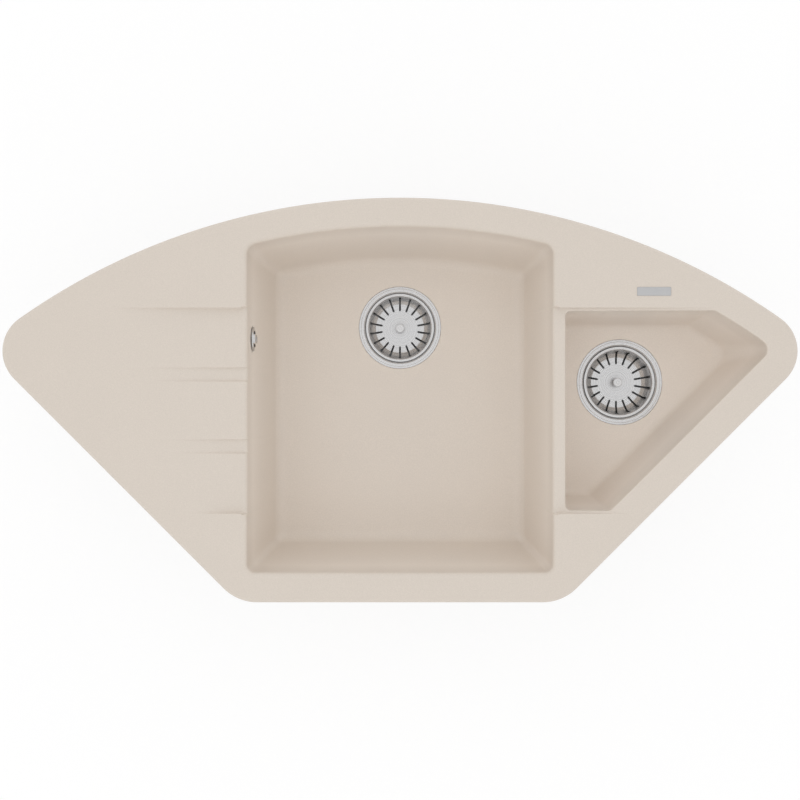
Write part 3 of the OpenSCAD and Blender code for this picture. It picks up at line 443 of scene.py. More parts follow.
def carve(piece, tool, operation="DIFFERENCE", overlap=False):
    """Cut a piece with a tool, or join them, and take the tool away"""
    step = piece.modifiers.new("cut", "BOOLEAN")
    step.operation = operation
    step.object = tool
    step.solver = "EXACT"
    step.use_self = overlap
    settle(piece)
    bpy.data.objects.remove(tool)


def cut(piece, *parts):
    """Cut parts out of a piece"""
    carve(piece, make_piece("tool", parts))


def join(piece, *parts, overlap=False):
    """Join parts to a piece"""
    carve(piece, make_piece("tool", parts), "UNION", overlap)


def soften(profile, radius, steps=4, closed=True):
    """A profile with its corners rounded"""
    points = [np.array(p, float) for p in profile]
    radii = radius if isinstance(radius, (list, tuple)) else [radius] * len(points)
    out = []
    for k, point in enumerate(points):
        if not closed and k in (0, len(points) - 1) or radii[k] <= 0:
            out.append(point)
            continue
        before, after = points[k - 1] - point, points[(k + 1) % len(points)] - point
        long_b, long_a = np.linalg.norm(before), np.linalg.norm(after)
        before, after = before / long_b, after / long_a
        half = math.acos(max(-1, min(1, float(before @ after)))) / 2
        if half > 1.5:
            out.append(point)
            continue
        reach = min(radii[k] / math.tan(half), 0.45 * long_b, 0.45 * long_a)
        r = reach * math.tan(half)
        middle = point + (before + after) / np.linalg.norm(before + after) * r / math.sin(half)
        first, last = point + before * reach - middle, point + after * reach - middle
        for step in range(steps + 1):
            way = first * (1 - step / steps) + last * step / steps
            out.append(middle + way / np.linalg.norm(way) * r)
    return out


def lathe(profile, segments=96, closed=True):
    """A turned surface from a profile of radius and height"""
    circle_points = around(np.linspace(0, 2 * np.pi, segments, endpoint=False))
    rings = [lift(r * circle_points, z) for r, z in profile]
    if closed:
        rings.append(rings[0])
    return skin(rings)


def drum(profile, segments):
    """A turned part whose two ends are closed by flat faces"""
    return closed_ends(lathe(profile, segments, closed=False), segments)


def turned_solid(profile, segments=96):
    """A turned solid from a profile whose first and last points lie on its axis"""
    profile = profile[1:-1]
    points, faces = lathe(profile, segments, closed=False)
    count = len(points)
    last = count - segments
    centres = [[0, 0, profile[0][1]], [0, 0, profile[-1][1]]]
    for i in range(segments):
        after = (i + 1) % segments
        faces += [[count, after, i], [count + 1, last + i, last + after]]
    return np.concatenate([points, centres]), faces


def moved(part, place, axis="Z", turn=0.0):
    """A part laid with its axis along X or Z, then turned about Z and set at a place"""
    spin = Matrix.Rotation(turn, 4, "Z")
    tilt = Matrix.Rotation(math.pi / 2, 4, "Y") if axis == "X" else Matrix.Identity(4)
    way = np.array(Matrix.Translation(Vector(place)) @ spin @ tilt)
    points = np.asarray(part[0], float) @ way[:3, :3].T + way[:3, 3]
    return points, part[1]


def block(low, high):
    """A box between two corners"""
    flat = np.array([[low[0], low[1]], [high[0], low[1]], [high[0], high[1]], [low[0], high[1]]])
    return closed_ends(skin([lift(flat, low[2]), lift(flat, high[2])]), 4)


def plate(ring, low, high, round_r=0.0, steps=3):
    """A flat plate over a ring, with a rounded upper edge where a radius is given"""
    centre = ring.mean(0)
    rings = [lift(ring, low)]
    size = np.abs(ring - centre).max()
    for step in range(steps + 1 if round_r else 1):
        turn = math.pi / 2 * step / steps
        inset = 1 - round_r * (1 - math.cos(turn)) / size
        rings.append(lift(centre + (ring - centre) * inset, high - round_r * (1 - math.sin(turn))))
    return closed_ends(skin(rings), len(ring))


def finish_piece(piece, body, node, material, angle=38):
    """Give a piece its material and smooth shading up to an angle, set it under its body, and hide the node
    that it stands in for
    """
    if not piece.data.materials:
        piece.data.materials.append(material)
    piece.data.shade_smooth()
    piece.data.set_sharp_from_angle(angle=math.radians(angle))
    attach(piece, body)
    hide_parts(node)


# Node helpers

def put(tree, kind, values=None, **options):
    """Add a node with its options, and feed its inputs from sockets or constants"""
    node = tree.nodes.new(kind)
    for key, value in options.items():
        setattr(node, key, value)
    for key, value in (values or {}).items():
        if isinstance(value, bpy.types.NodeSocket):
            tree.links.new(value, node.inputs[key])
        else:
            node.inputs[key].default_value = value
    return node


def math_of(tree, operation, *values, **options):
    """The result of one Math node"""
    return put(tree, "ShaderNodeMath", dict(enumerate(values)), operation=operation, **options).outputs[0]


def split(tree, vector):
    """The X, Y and Z outputs of a vector"""
    return put(tree, "ShaderNodeSeparateXYZ", {0: vector}).outputs


def off_axis(tree, place):
    """The part of a place that lies across the Z axis, and its distance from the axis"""
    flat = put(tree, "ShaderNodeCombineXYZ", {"X": place["X"], "Y": place["Y"]}).outputs[0]
    return flat, put(tree, "ShaderNodeVectorMath", {0: flat}, operation="LENGTH").outputs["Value"]


def cut_away(tree, geometry, tools):
    """Geometry with tools cut out of it"""
    return put(tree, "GeometryNodeMeshBoolean", {0: geometry, 1: tools},
               operation="DIFFERENCE", solver="EXACT").outputs[0]


def start_tree(name, inputs):
    """A Geometry Nodes tree with named inputs"""
    tree = bpy.data.node_groups.new(name, "GeometryNodeTree")
    tree.interface.new_socket("Geometry", in_out="INPUT", socket_type="NodeSocketGeometry")
    for label, kind in inputs.items():
        tree.interface.new_socket(label, in_out="INPUT", socket_type="NodeSocket" + kind)
    tree.interface.new_socket("Geometry", in_out="OUTPUT", socket_type="NodeSocketGeometry")
    return tree, tree.nodes.new("NodeGroupInput").outputs


def end_tree(tree, geometry, material):
    """Close a tree with real geometry and its material"""
    real = put(tree, "GeometryNodeRealizeInstances", {0: geometry})
    dressed = put(tree, "GeometryNodeSetMaterial", {"Geometry": real.outputs[0], "Material": material})
    put(tree, "NodeGroupOutput", {0: dressed.outputs[0]})
    return tree


def turned_copies(tree, piece, count, start):
    """Copies of an object, turned evenly about the Z axis"""
    shape = put(tree, "GeometryNodeObjectInfo", {"Object": piece})
    points = put(tree, "GeometryNodePoints", {"Count": count})
    share = math_of(tree, "DIVIDE", put(tree, "GeometryNodeInputIndex").outputs[0], count)
    angle = math_of(tree, "MULTIPLY_ADD", share, 2 * math.pi, start)
    turn = put(tree, "ShaderNodeCombineXYZ", {"Z": angle})
    return put(tree, "GeometryNodeInstanceOnPoints", {
        "Points": points.outputs[0],
        "Instance": shape.outputs["Geometry"],
        "Rotation": turn.outputs[0],
    }).outputs[0]


def turned_tree(name):
    """A tree with turned copies of a tool, and what it was given"""
    tree, given = start_tree(name, {
        "Tool": "Object", "Count": "Int", "Start": "Float", "Material": "Material"})
    return tree, given, turned_copies(tree, given["Tool"], given["Count"], given["Start"])


def cut_tree():
    """A tree that cuts turned copies of a tool out of a piece"""
    tree, given, copies = turned_tree("turned_cuts")
    tools = put(tree, "GeometryNodeRealizeInstances", {0: copies})
    return end_tree(tree, cut_away(tree, given["Geometry"], tools.outputs[0]), given["Material"])


def rib_tree():
    """A tree that sets turned copies of a tool round a piece"""
    tree, given, copies = turned_tree("turned_ribs")
    both = put(tree, "GeometryNodeJoinGeometry", {0: copies})
    tree.links.new(given["Geometry"], both.inputs[0])
    return end_tree(tree, both.outputs[0], given["Material"])


def thread_tree():
    """A tree that winds a thread into a turned piece between two heights"""
    tree, given = start_tree("thread", {
        "Pitch": "Float", "Depth": "Float", "Low": "Float", "High": "Float",
        "Radius": "Float", "Material": "Material"})
    place = split(tree, put(tree, "GeometryNodeInputPosition").outputs[0])
    angle = math_of(tree, "ARCTAN2", place["Y"], place["X"])
    turns = math_of(tree, "DIVIDE", angle, 2 * math.pi)
    rows = math_of(tree, "DIVIDE", place["Z"], given["Pitch"])
    phase = math_of(tree, "SUBTRACT", rows, turns)
    wave = math_of(tree, "MULTIPLY", math_of(tree, "PINGPONG", phase, 0.5), -2.0)
    low = math_of(tree, "DIVIDE", math_of(tree, "SUBTRACT", place["Z"], given["Low"]), given["Pitch"])
    high = math_of(tree, "DIVIDE", math_of(tree, "SUBTRACT", given["High"], place["Z"]), given["Pitch"])
    fade = math_of(tree, "MINIMUM", low, high, use_clamp=True)
    flat, reach = off_axis(tree, place)
    outer = math_of(tree, "GREATER_THAN", reach, given["Radius"])
    depth = math_of(tree, "MULTIPLY", math_of(tree, "MULTIPLY", wave, fade), given["Depth"])
    depth = math_of(tree, "MULTIPLY", depth, outer)
    way = put(tree, "ShaderNodeVectorMath", {0: flat}, operation="NORMALIZE").outputs[0]
    offset = put(tree, "ShaderNodeVectorMath", {0: way, "Scale": depth}, operation="SCALE").outputs[0]
    wound = put(tree, "GeometryNodeSetPosition", {"Geometry": given["Geometry"], "Offset": offset})
    return end_tree(tree, wound.outputs[0], given["Material"])


def hose_tree():
    """A tree that sweeps a ribbed hose with a bore along a path"""
    tree, given = start_tree("ribbed_hose", {
        "Ribs": "Int", "Rib Radius": "Float", "Valley Radius": "Float", "Bore Radius": "Float",
        "Plain End": "Float", "Material": "Material"})
    path = put(tree, "GeometryNodeMeshToCurve", {0: given["Geometry"]})
    whole = put(tree, "GeometryNodeCurveLength", {0: path.outputs[0]}).outputs[0]
    count = math_of(tree, "MULTIPLY", given["Ribs"], 10)
    fine = put(tree, "GeometryNodeResampleCurve", {"Curve": path.outputs[0], "Count": count})
    along = put(tree, "GeometryNodeSplineParameter").outputs["Length"]
    middle = math_of(tree, "SUBTRACT", whole, math_of(tree, "MULTIPLY", given["Plain End"], 2))
    place = math_of(tree, "DIVIDE", math_of(tree, "SUBTRACT", along, given["Plain End"]), middle)
    open_part = math_of(tree, "COMPARE", place, 0.5, 0.5)
    turns = math_of(tree, "MULTIPLY", math_of(tree, "MULTIPLY", place, given["Ribs"]), 2 * math.pi)
    wave = math_of(tree, "MULTIPLY_ADD", math_of(tree, "COSINE", turns), -0.5, 0.5)
    wave = math_of(tree, "MULTIPLY", math_of(tree, "POWER", wave, 0.7), open_part)
    rise = math_of(tree, "SUBTRACT", given["Rib Radius"], given["Valley Radius"])
    radius = math_of(tree, "MULTIPLY_ADD", wave, rise, given["Valley Radius"])
    outer = put(tree, "GeometryNodeCurvePrimitiveCircle", {"Resolution": 32, "Radius": 1.0})
    shell = put(tree, "GeometryNodeCurveToMesh", {
        "Curve": fine.outputs[0], "Profile Curve": outer.outputs[0], "Scale": radius, "Fill Caps": True})
    bore = put(tree, "GeometryNodeCurveToMesh", {
        "Curve": path.outputs[0], "Profile Curve": outer.outputs[0],
        "Scale": given["Bore Radius"], "Fill Caps": True})
    hollow = cut_away(tree, shell.outputs[0], bore.outputs[0])
    return end_tree(tree, hollow, given["Material"])


def copies_tree():
    """A tree that sets copies of an object on the points of a mesh"""
    tree, given = start_tree("copies_on_points", {"Part": "Object", "Material": "Material"})
    shape = put(tree, "GeometryNodeObjectInfo", {"Object": given["Part"]})
    copies = put(tree, "GeometryNodeInstanceOnPoints", {
        "Points": given["Geometry"], "Instance": shape.outputs["Geometry"]})
    return end_tree(tree, copies.outputs[0], given["Material"])


def run_tree(piece, build, **values):
    """Run a node tree with its inputs set by their labels, keep the plain mesh and take helpers away"""
    tree = build()
    step = piece.modifiers.new(tree.name, "NODES")
    step.node_group = tree
    for socket in tree.interface.items_tree:
        label = socket.name.replace(" ", "_").lower()
        if socket.in_out == "INPUT" and label in values:
            step[socket.identifier] = values[label]
    settle(piece)
    for value in values.values():
        if isinstance(value, bpy.types.Object):
            bpy.data.objects.remove(value)


# Finishes

def start_finish(name, colour, roughness, metallic=0.0, level=0.5, centre=(0, 0, 0)):
    """A material with its shader's plain values, and object coordinates centred on a place"""
    material = bpy.data.materials.new(name)
    material.use_nodes = True
    tree = material.node_tree
    shader = tree.nodes["Principled BSDF"]
    values = {"Roughness": roughness, "Metallic": metallic, "Specular IOR Level": level}
    shader.inputs["Base Color"].default_value = (*colour, 1)
    for label, value in values.items():
        shader.inputs[label].default_value = value
    coords = put(tree, "ShaderNodeTexCoord").outputs["Object"]
    where = put(tree, "ShaderNodeMapping", {"Vector": coords, "Location": -Vector(centre)})
    return material, tree, shader, where.outputs[0]


def dress(tree, shader, colour, roughness):
    """Feed a shader's colour and roughness"""
    tree.links.new(colour, shader.inputs["Base Color"])
    tree.links.new(roughness, shader.inputs["Roughness"])


def toned(tree, colour, tone):
    """A colour multiplied by a tone"""
    return put(tree, "ShaderNodeVectorMath", {0: colour, 1: tone}, operation="MULTIPLY").outputs[0]


def mix_of(tree, factor, first, second):
    """A colour between two others"""
    return put(tree, "ShaderNodeMix", {"Factor": factor, 6: first, 7: second}, data_type="RGBA").outputs[2]


def weighted(tree, first, first_share, second, second_share):
    """The sum of two values, each by its own share"""
    first_part = math_of(tree, "MULTIPLY", first, first_share)
    return math_of(tree, "ADD", first_part, math_of(tree, "MULTIPLY", second, second_share))


def noise(tree, where, scale, detail=2.0, rough=0.5):
    """Plain noise from 0 to 1"""
    return put(tree, "ShaderNodeTexNoise", {
        "Vector": where, "Scale": scale, "Detail": detail, "Roughness": rough}).outputs["Fac"]


def vary(tree, factor, low, high, start=0.25, end=0.75):
    """A factor spread between two values"""
    return put(tree, "ShaderNodeMapRange", {
        0: factor, 1: start, 2: end, 3: low, 4: high}).outputs[0]


def shades(tree, factor, colour, dark, light, start=0.25, end=0.75):
    """A colour between a darker and a lighter shade of itself"""
    ends = [(*[min(1, c * level) for c in colour], 1) for level in (dark, light)]
    return mix_of(tree, vary(tree, factor, 0.0, 1.0, start, end), *ends)


def relief(tree, shader, height, distance, strength=1.0, before=None):
    """Bump on a shader, over an earlier one where it is given"""
    bump = put(tree, "ShaderNodeBump", {"Height": height, "Distance": distance, "Strength": strength})
    if before:
        tree.links.new(before, bump.inputs["Normal"])
    tree.links.new(bump.outputs[0], shader.inputs["Normal"])
    return bump.outputs[0]


def stone_finish():
    """Fine matt composite stone, with a close grain and a faint mottle, and painted light that makes it
    paler deep in the bowls
    """
    scene = bpy.context.scene
    finishes, sizes = scene.sink_finishes, scene.sink_bowls
    colour = finishes.stone
    material, tree, shader, where = start_finish("composite_stone_fine", colour, 0.46, level=0.4)
    place = split(tree, where)
    # Painted light: the colour is lifted from the deck's level down to 45 mm below it, more in the small
    # bowl than in the main one, standing in for the light that the bowls' walls shade off
    side = vary(tree, place["X"], 0.0, 1.0, sizes.main_w / 2, sizes.main_w / 2 + sizes.divider)
    bowl_painted_light = mix_of(tree, side, (*finishes.inside_tone, 1), (*finishes.small_tone, 1))
    depth = vary(tree, place["Z"], 1.0, 0.0, -0.045, 0.002)
    tone = mix_of(tree, depth, (1, 1, 1, 1), bowl_painted_light)
    grain = noise(tree, where, 950.0, 3.0, 0.6)
    mottle = noise(tree, where, 14.0, 4.0, 0.55)
    specks = put(tree, "ShaderNodeTexVoronoi", {"Vector": where, "Scale": 620.0, "Randomness": 1.0})
    speck = math_of(tree, "MULTIPLY", specks.outputs["Distance"], 0.55)
    mixed = weighted(tree, grain, 0.62, speck, 0.42)
    mixed = math_of(tree, "ADD", mixed, math_of(tree, "MULTIPLY", mottle, 0.16))
    grained = shades(tree, mixed, colour, 0.95, 1.045, 0.36, 0.72)
    dress(tree, shader, toned(tree, grained, tone), vary(tree, mottle, 0.42, 0.52))
    fine = relief(tree, shader, grain, 0.00012, 0.35)
    relief(tree, shader, noise(tree, where, 60.0, 3.0), 0.00025, 0.12, fine)
    return material


def raw_stone_finish():
    """The unpolished underside of the moulding"""
    colour = [c * 0.93 for c in bpy.context.scene.sink_finishes.stone]
    material, tree, shader, where = start_finish("composite_stone_raw", colour, 0.72, level=0.3)
    grain = noise(tree, where, 420.0, 4.0, 0.65)
    cloud = noise(tree, where, 11.0, 4.0, 0.6)
    both = weighted(tree, grain, 0.5, cloud, 0.5)
    dress(tree, shader, shades(tree, both, colour, 0.88, 1.06, 0.35, 0.65), vary(tree, cloud, 0.62, 0.82))
    coarse = relief(tree, shader, grain, 0.0004, 0.5)
    relief(tree, shader, noise(tree, where, 45.0, 3.0), 0.001, 0.2, coarse)
    return material


def turned_finish(name, colour, roughness, centre, painted_shade_level):
    """Metal turned about an upright axis, with fine lines round it, and darkened below its centre by
    painted shade
    """
    material, tree, shader, where = start_finish(name, colour, roughness, 0.72, centre=centre)
    place = split(tree, where)
    reach = off_axis(tree, place)[1]
    path = math_of(tree, "ADD", reach, math_of(tree, "MULTIPLY", place["Z"], 0.83))
    rings = put(tree, "ShaderNodeTexNoise", {"W": path, "Scale": 1500.0, "Detail": 2.0},
                noise_dimensions="1D").outputs["Fac"]
    smudge = noise(tree, where, 45.0, 3.0)
    shade = shades(tree, rings, colour, 0.9, 1.07)
    # Painted shade: below its centre the colour is darkened to the given level, standing in for the shade
    # deep inside a cup
    deep = vary(tree, place["Z"], painted_shade_level, 1.0, -0.012, -0.003)
    smudged = vary(tree, smudge, roughness - 0.04, roughness + 0.05)
    worn = math_of(tree, "ADD", vary(tree, rings, -0.05, 0.05), smudged)
    dress(tree, shader, toned(tree, shade, deep), worn)
    relief(tree, shader, rings, 0.00002, 0.6)
    return material


def plated_finish(name, colour, roughness, spangle):
    """Plated or pressed metal, with a faint spangle and smudges"""
    material, tree, shader, where = start_finish(name, colour, roughness, 1.0)
    fine = noise(tree, where, spangle, 3.0)
    smudge = noise(tree, where, 55.0, 4.0)
    worn = vary(tree, smudge, roughness * 0.8, roughness * 1.35)
    dress(tree, shader, shades(tree, fine, colour, 0.94, 1.05), worn)
    relief(tree, shader, fine, 0.00003, 0.4)
    return material


def moulded_finish(name, colour, roughness, grain=900.0):
    """Moulded plastic or rubber, with a fine mould grain"""
    material, tree, shader, where = start_finish(name, colour, roughness, level=0.45)
    fine = noise(tree, where, grain, 3.0)
    cloud = noise(tree, where, 30.0, 3.0)
    rough = vary(tree, fine, roughness - 0.05, roughness + 0.07)
    dress(tree, shader, shades(tree, cloud, colour, 0.94, 1.05), rough)
    relief(tree, shader, fine, 0.00005, 0.4)
    return material


def finish_of(kind):
    """The finish of a kind, made when it is first asked for"""
    made = bpy.data.materials.get(kind)
    if made:
        return made
    colours = bpy.context.scene.sink_finishes
    satin = [c * 0.86 for c in colours.chrome]
    makers = {
        "composite_stone_fine": stone_finish,
        "composite_stone_raw": raw_stone_finish,
        "chrome_plate": lambda: plated_finish(kind, colours.chrome, 0.12, 700.0),
        "satin_plate": lambda: plated_finish(kind, satin, 0.42, 1500.0),
        "zinc_plate": lambda: plated_finish(kind, colours.zinc, 0.34, 420.0),
        "bright_steel": lambda: plated_finish(kind, colours.steel, 0.24, 900.0),
        "turned_brass": lambda: plated_finish(kind, colours.brass, 0.3, 800.0),
        "soft_rubber": lambda: moulded_finish(kind, colours.rubber, 0.58, 1400.0),
        "white_moulding": lambda: moulded_finish(kind, colours.plastic, 0.36),
        "grey_moulding": lambda: moulded_finish(kind, colours.grey_plastic, 0.42),
    }
    return makers[kind]()


# The sink's outlines and its deck

class Plan:
    """The outlines of the deck and the bowls, each drawn in by an inset, and the deck's height"""

    def __init__(self):
        scene = bpy.context.scene
        self.rim, self.bowls, self.band = scene.sink_rim, scene.sink_bowls, scene.sink_drainer
        rim, bowls, band = self.rim, self.bowls, self.band
        self.side_c = rim.front / 2 + rim.depth / 2
        self.tip_x = rim.width / 2 - rim.tip_r
        self.tip_y = self.tip_x - self.side_c + math.sqrt(2) * rim.tip_r
        drop = rim.depth / 2 - self.tip_y
        self.back_r = (self.tip_x ** 2 + drop ** 2 - rim.tip_r ** 2) / (2 * (drop - rim.tip_r))
        self.back_y = rim.depth / 2 - self.back_r
        self.tip_a = math.degrees(math.atan2(self.tip_y - self.back_y, self.tip_x))
        self.corner_y = rim.front_r - rim.depth / 2
        self.corner_x = self.side_c + self.corner_y - math.sqrt(2) * rim.front_r
        self.half = bowls.main_w / 2
        self.small_left = self.half + bowls.divider
        self.small_back = band.back - band.ledge
        self.small_front = band.ledge - band.front
        self.main_floor = rim.height - bowls.main_depth
        self.small_floor = rim.height - bowls.small_depth
        self.rows = self.band_rows()

    def band_rows(self):
        """Rows of points across the band, close together at its steps and grooves"""
        band = self.band
        step = np.array([7, 5, 4, 3.4, 2.8, 2.3, 1.8, 1.4, 1.1, 0.8, 0.5, 0.2, -0.1, -0.4, -0.7,
                         -1, -1.3, -1.7, -2.4, -3.4, -5]) / 1000
        groove = np.array([10.5, 9.4, 9, 8.6, 8.2, 7.8, 7.4, 7, 6.6, 6.1, 3, 0]) / 1000
        marks = [band.back + step, -band.front - step]
        for middle in (band.groove_back_y, band.groove_front_y):
            marks += [middle + groove, middle - groove]
        return spread(np.concatenate(marks + [[-0.17, 0.145]]), 0.011)

    def outline(self, inset):
        """The edge of the deck"""
        rim = self.rim
        return ring_of([
            (self.corner_x, self.corner_y, rim.front_r - inset, -90, -45, 10),
            (self.tip_x, self.tip_y, rim.tip_r - inset, -45, self.tip_a, 18),
            (0, self.back_y, self.back_r - inset, self.tip_a, 180 - self.tip_a, 96),
            (-self.tip_x, self.tip_y, rim.tip_r - inset, 180 - self.tip_a, 225, 18),
            (-self.corner_x, self.corner_y, rim.front_r - inset, 225, 270, 10),
        ], [34, -1, -1, 34, 34])

    def main_ring(self, inset):
        """The main bowl, with its back edge on an arc about the outline's centre"""
        bowls = self.bowls
        inset += self.lean(inset, self.main_floor, bowls.main_lean)
        half = self.half - inset
        r = self.back_r - bowls.rim_back - inset
        cx = half - bowls.back_r
        cy = self.back_y + math.sqrt((r - bowls.back_r) ** 2 - cx ** 2)
        a = math.degrees(math.atan2(cy - self.back_y, cx))
        fx = half - bowls.front_r
        fy = bowls.rim_front - self.rim.depth / 2 + inset + bowls.front_r
        return ring_of([
            (fx, fy, bowls.front_r, -90, 0, 8),
            (cx, cy, bowls.back_r, 0, a, 8),
            (0, self.back_y, r, a, 180 - a, 40),
            (-cx, cy, bowls.back_r, 180 - a, 180, 8),
            (-fx, fy, bowls.front_r, 180, 270, 8),
        ], [self.rows, -1, -1, self.rows[::-1], 30])

    def small_ring(self, inset):
        """The small bowl, with its right end parallel to the outline"""
        bowls = self.bowls
        lean = self.lean(inset, self.small_floor, bowls.small_lean)
        corner_r = bowls.small_corner_r
        turn_r, tip_r = corner_r + lean, bowls.small_tip_r + lean
        c = self.side_c - math.sqrt(2) * (bowls.rim_side + inset + lean)
        r = self.back_r - bowls.rim_back - inset - lean
        k = c - math.sqrt(2) * tip_r
        p = r - tip_r
        h = k - self.back_y
        v = (math.sqrt(h * h - 2 * (k * k + self.back_y ** 2 - p * p)) - h) / 2
        u = v + k
        tip = math.degrees(math.atan2(v - self.back_y, u))
        back = self.small_back - inset - bowls.side_lean * lean
        ty = back - turn_r
        tx = math.sqrt((r - turn_r) ** 2 - (ty - self.back_y) ** 2)
        ta = math.degrees(math.atan2(ty - self.back_y, tx))
        by = self.small_front + inset + bowls.side_lean * lean + corner_r
        bx = c + by - math.sqrt(2) * corner_r
        lx = self.small_left + inset + corner_r
        return ring_of([
            (bx, by, corner_r, -90, -45, 5),
            (u, v, tip_r, -45, tip, 10),
            (0, self.back_y, r, tip, ta, 6),
            (tx, ty, turn_r, ta, 90, 7),
            (lx, back - corner_r, corner_r, 90, 180, 8),
            (lx, by, corner_r, 180, 270, 8),
        ], [26, -1, -1, 18, 30, 16])

    def main_loop(self):
        """Where the deck turns into the main bowl's edge"""
        return self.main_ring(-self.bowls.edge_r)

    def small_loop(self):
        """Where the deck turns into the small bowl's edge"""
        return self.small_ring(-self.bowls.small_edge_r)

    def raised(self, u, v):
        """Distance inside the raised deck, from its distances u to the step and v to the bowl"""
        r = self.band.corner_r
        return np.where((u < r) & (v < r), r - np.hypot(r - u, r - v), u)

    def deck_height(self, x, y):
        """Height of the deck, with the band sunk between its two steps"""
        rim, band = self.rim, self.band
        share = (y + band.front) / (band.back + band.front)
        start = -band.left_front - (band.left_back - band.left_front) * share
        end = band.right_front + (band.right_back - band.right_front) * share

        def eased(way):
            """A distance that starts softly at the hinge"""
            return (way + np.sqrt(way * way + band.hinge ** 2)) / 2

        left = eased(x - start) / (-self.half - start)
        right = np.minimum(1, eased(end - x) / (end - self.small_left))
        fall = np.where(x < 0, left, right)
        lead = 0.0011
        v = np.abs(x) - (self.half + self.bowls.edge_r) + lead
        inner = np.maximum(self.raised(y - band.back, v), self.raised(-band.front - y, v))
        way = lead - inner
        upper = np.clip(way / band.step_w, 0, 1)
        lower = np.clip((way - band.step_w) / (0.8 * band.step_w), 0, 1)
        upper_share, soft = 0.52, 0.0004
        drop = upper_share * (1 - np.sqrt(1 - upper ** 2))
        drop += (1 - upper_share) * np.sqrt(1 - (1 - lower) ** 2)
        z = rim.height - band.depth * fall * drop
        for middle in (band.groove_back_y, band.groove_front_y):
            reach = band.groove_w / 2 + soft - np.abs(y - middle)
            side = np.clip(reach / (band.groove_side + 2 * soft), 0, 1)
            z = z - np.where(x < 0, band.groove_depth * fall * side * side * (3 - 2 * side), 0)
        return z

    def lean(self, inset, floor_z, most):
        """How much further than its draft a bowl's wall leans in where it is inset this far"""
        foot = self.bowl_profile(floor_z, 0)[-1][0]
        return most * min(1, max(0, inset / foot)) ** 3

    def bowl_profile(self, floor_z, out):
        """Insets and heights of a bowl's wall, from the foot's radius up to the wall's top"""
        bowls = self.bowls
        floor_r = bowls.floor_r if floor_z == self.main_floor else bowls.small_floor_r
        foot = floor_z + floor_r
        drawn = (self.rim.height - foot) * math.tan(bowls.draft) - out
        r = floor_r + out
        turn = angles(90, 0, 11)
        return [(drawn + r * (1 - math.cos(a)), foot - r * math.sin(a)) for a in turn]


def corner_points(plan, start):
    """Points on arcs about the four corners of the steps beside the main bowl"""
    reach = plan.band.corner_r
    radii = reach + np.array([-2, -1.4, -0.9, -0.5, -0.1, 0.3, 0.7, 1.1, 1.5, 2, 2.7]) / 1000
    turn = angles(0, 90, 13)
    corners = []
    for side in (-1, 1):
        for middle, way in ((plan.band.back, 1), (-plan.band.front, -1)):
            centre = np.array([side * (start + reach), middle + way * reach])
            arc = np.stack([-side * np.cos(turn), -way * np.sin(turn)], 1)
            corners += [centre + r * arc for r in radii]
    return np.concatenate(corners)


def deck_part(plan):
    """The flat and sunken deck between the rim and the bowls"""
    bowls, band = plan.bowls, plan.band
    clear, grid_inset = 0.0004, 0.0145
    edge, main, small = plan.outline(RIM_RING), plan.main_loop(), plan.small_loop()
    near = np.array([0.8, 1.8, 3.2, 5, 7.5, 11]) / 1000
    start = plan.half + bowls.edge_r
    wide = [-0.49, -0.39, 0.42, 0.49, -0.3, 0.22]
    columns = spread(np.concatenate([-start - near, start + near[:5], wide]), 0.011)
    lines = spread(np.concatenate([plan.rows, [-0.245, 0.245]]), 0.02)
    x, y = np.meshgrid(columns, lines)
    grid = np.stack([x.ravel(), y.ravel()], 1)
    corners = corner_points(plan, start)
    gap = np.min(np.hypot(grid[:, :1] - corners[:, 0], grid[:, 1:2] - corners[:, 1]), axis=1)
    cells = len(grid)
    grid = np.concatenate([grid, corners])

    def free(points):
        """Whether points lie on the deck, clear of its loops"""
        near_main = inside(points, plan.main_ring(-bowls.edge_r - clear))
        near_small = inside(points, plan.small_ring(-bowls.small_edge_r - clear))
        return inside(points, plan.outline(grid_inset)) & ~near_main & ~near_small

    keep = free(grid)
    keep[:cells] &= gap > clear
    loops = [edge, main, small]
    points = np.concatenate(loops + [grid[keep]])
    edges, first = [], 0
    for loop in loops:
        n = len(loop)
        edges += [(first + i, first + (i + 1) % n) for i in range(n)]
        first += n
    number = np.cumsum(keep) - 1 + first
    cell, level = grid[:cells], grid[:cells, 1]
    straight = keep[:cells] & (np.abs(cell[:, 0]) > start + band.corner_r + 0.0005)
    straight &= np.minimum(np.abs(level - band.back), np.abs(level + band.front)) < 0.0072
    pairs = np.flatnonzero(straight[:-1] & straight[1:] & (level[:-1] == level[1:]))
    between = np.linspace(cell[pairs], cell[pairs + 1], 7)
    pairs = pairs[free(between.reshape(-1, 2)).reshape(7, -1).all(0)]
    edges += [(int(number[i]), int(number[i + 1])) for i in pairs]
    flat, _, faces, _, _, _ = delaunay_2d_cdt([Vector(p) for p in points], edges, [], 0, 1e-7, False)
    flat = np.array([tuple(p) for p in flat])
    faces = np.array(faces)
    middles = flat[faces].mean(1)
    keep = inside(middles, edge) & ~inside(middles, main) & ~inside(middles, small)
    z = plan.deck_height(flat[:, 0], flat[:, 1])
    z[~inside(flat, plan.outline(0.012))] = plan.rim.height
    return np.column_stack([flat, z]), faces[keep].tolist()


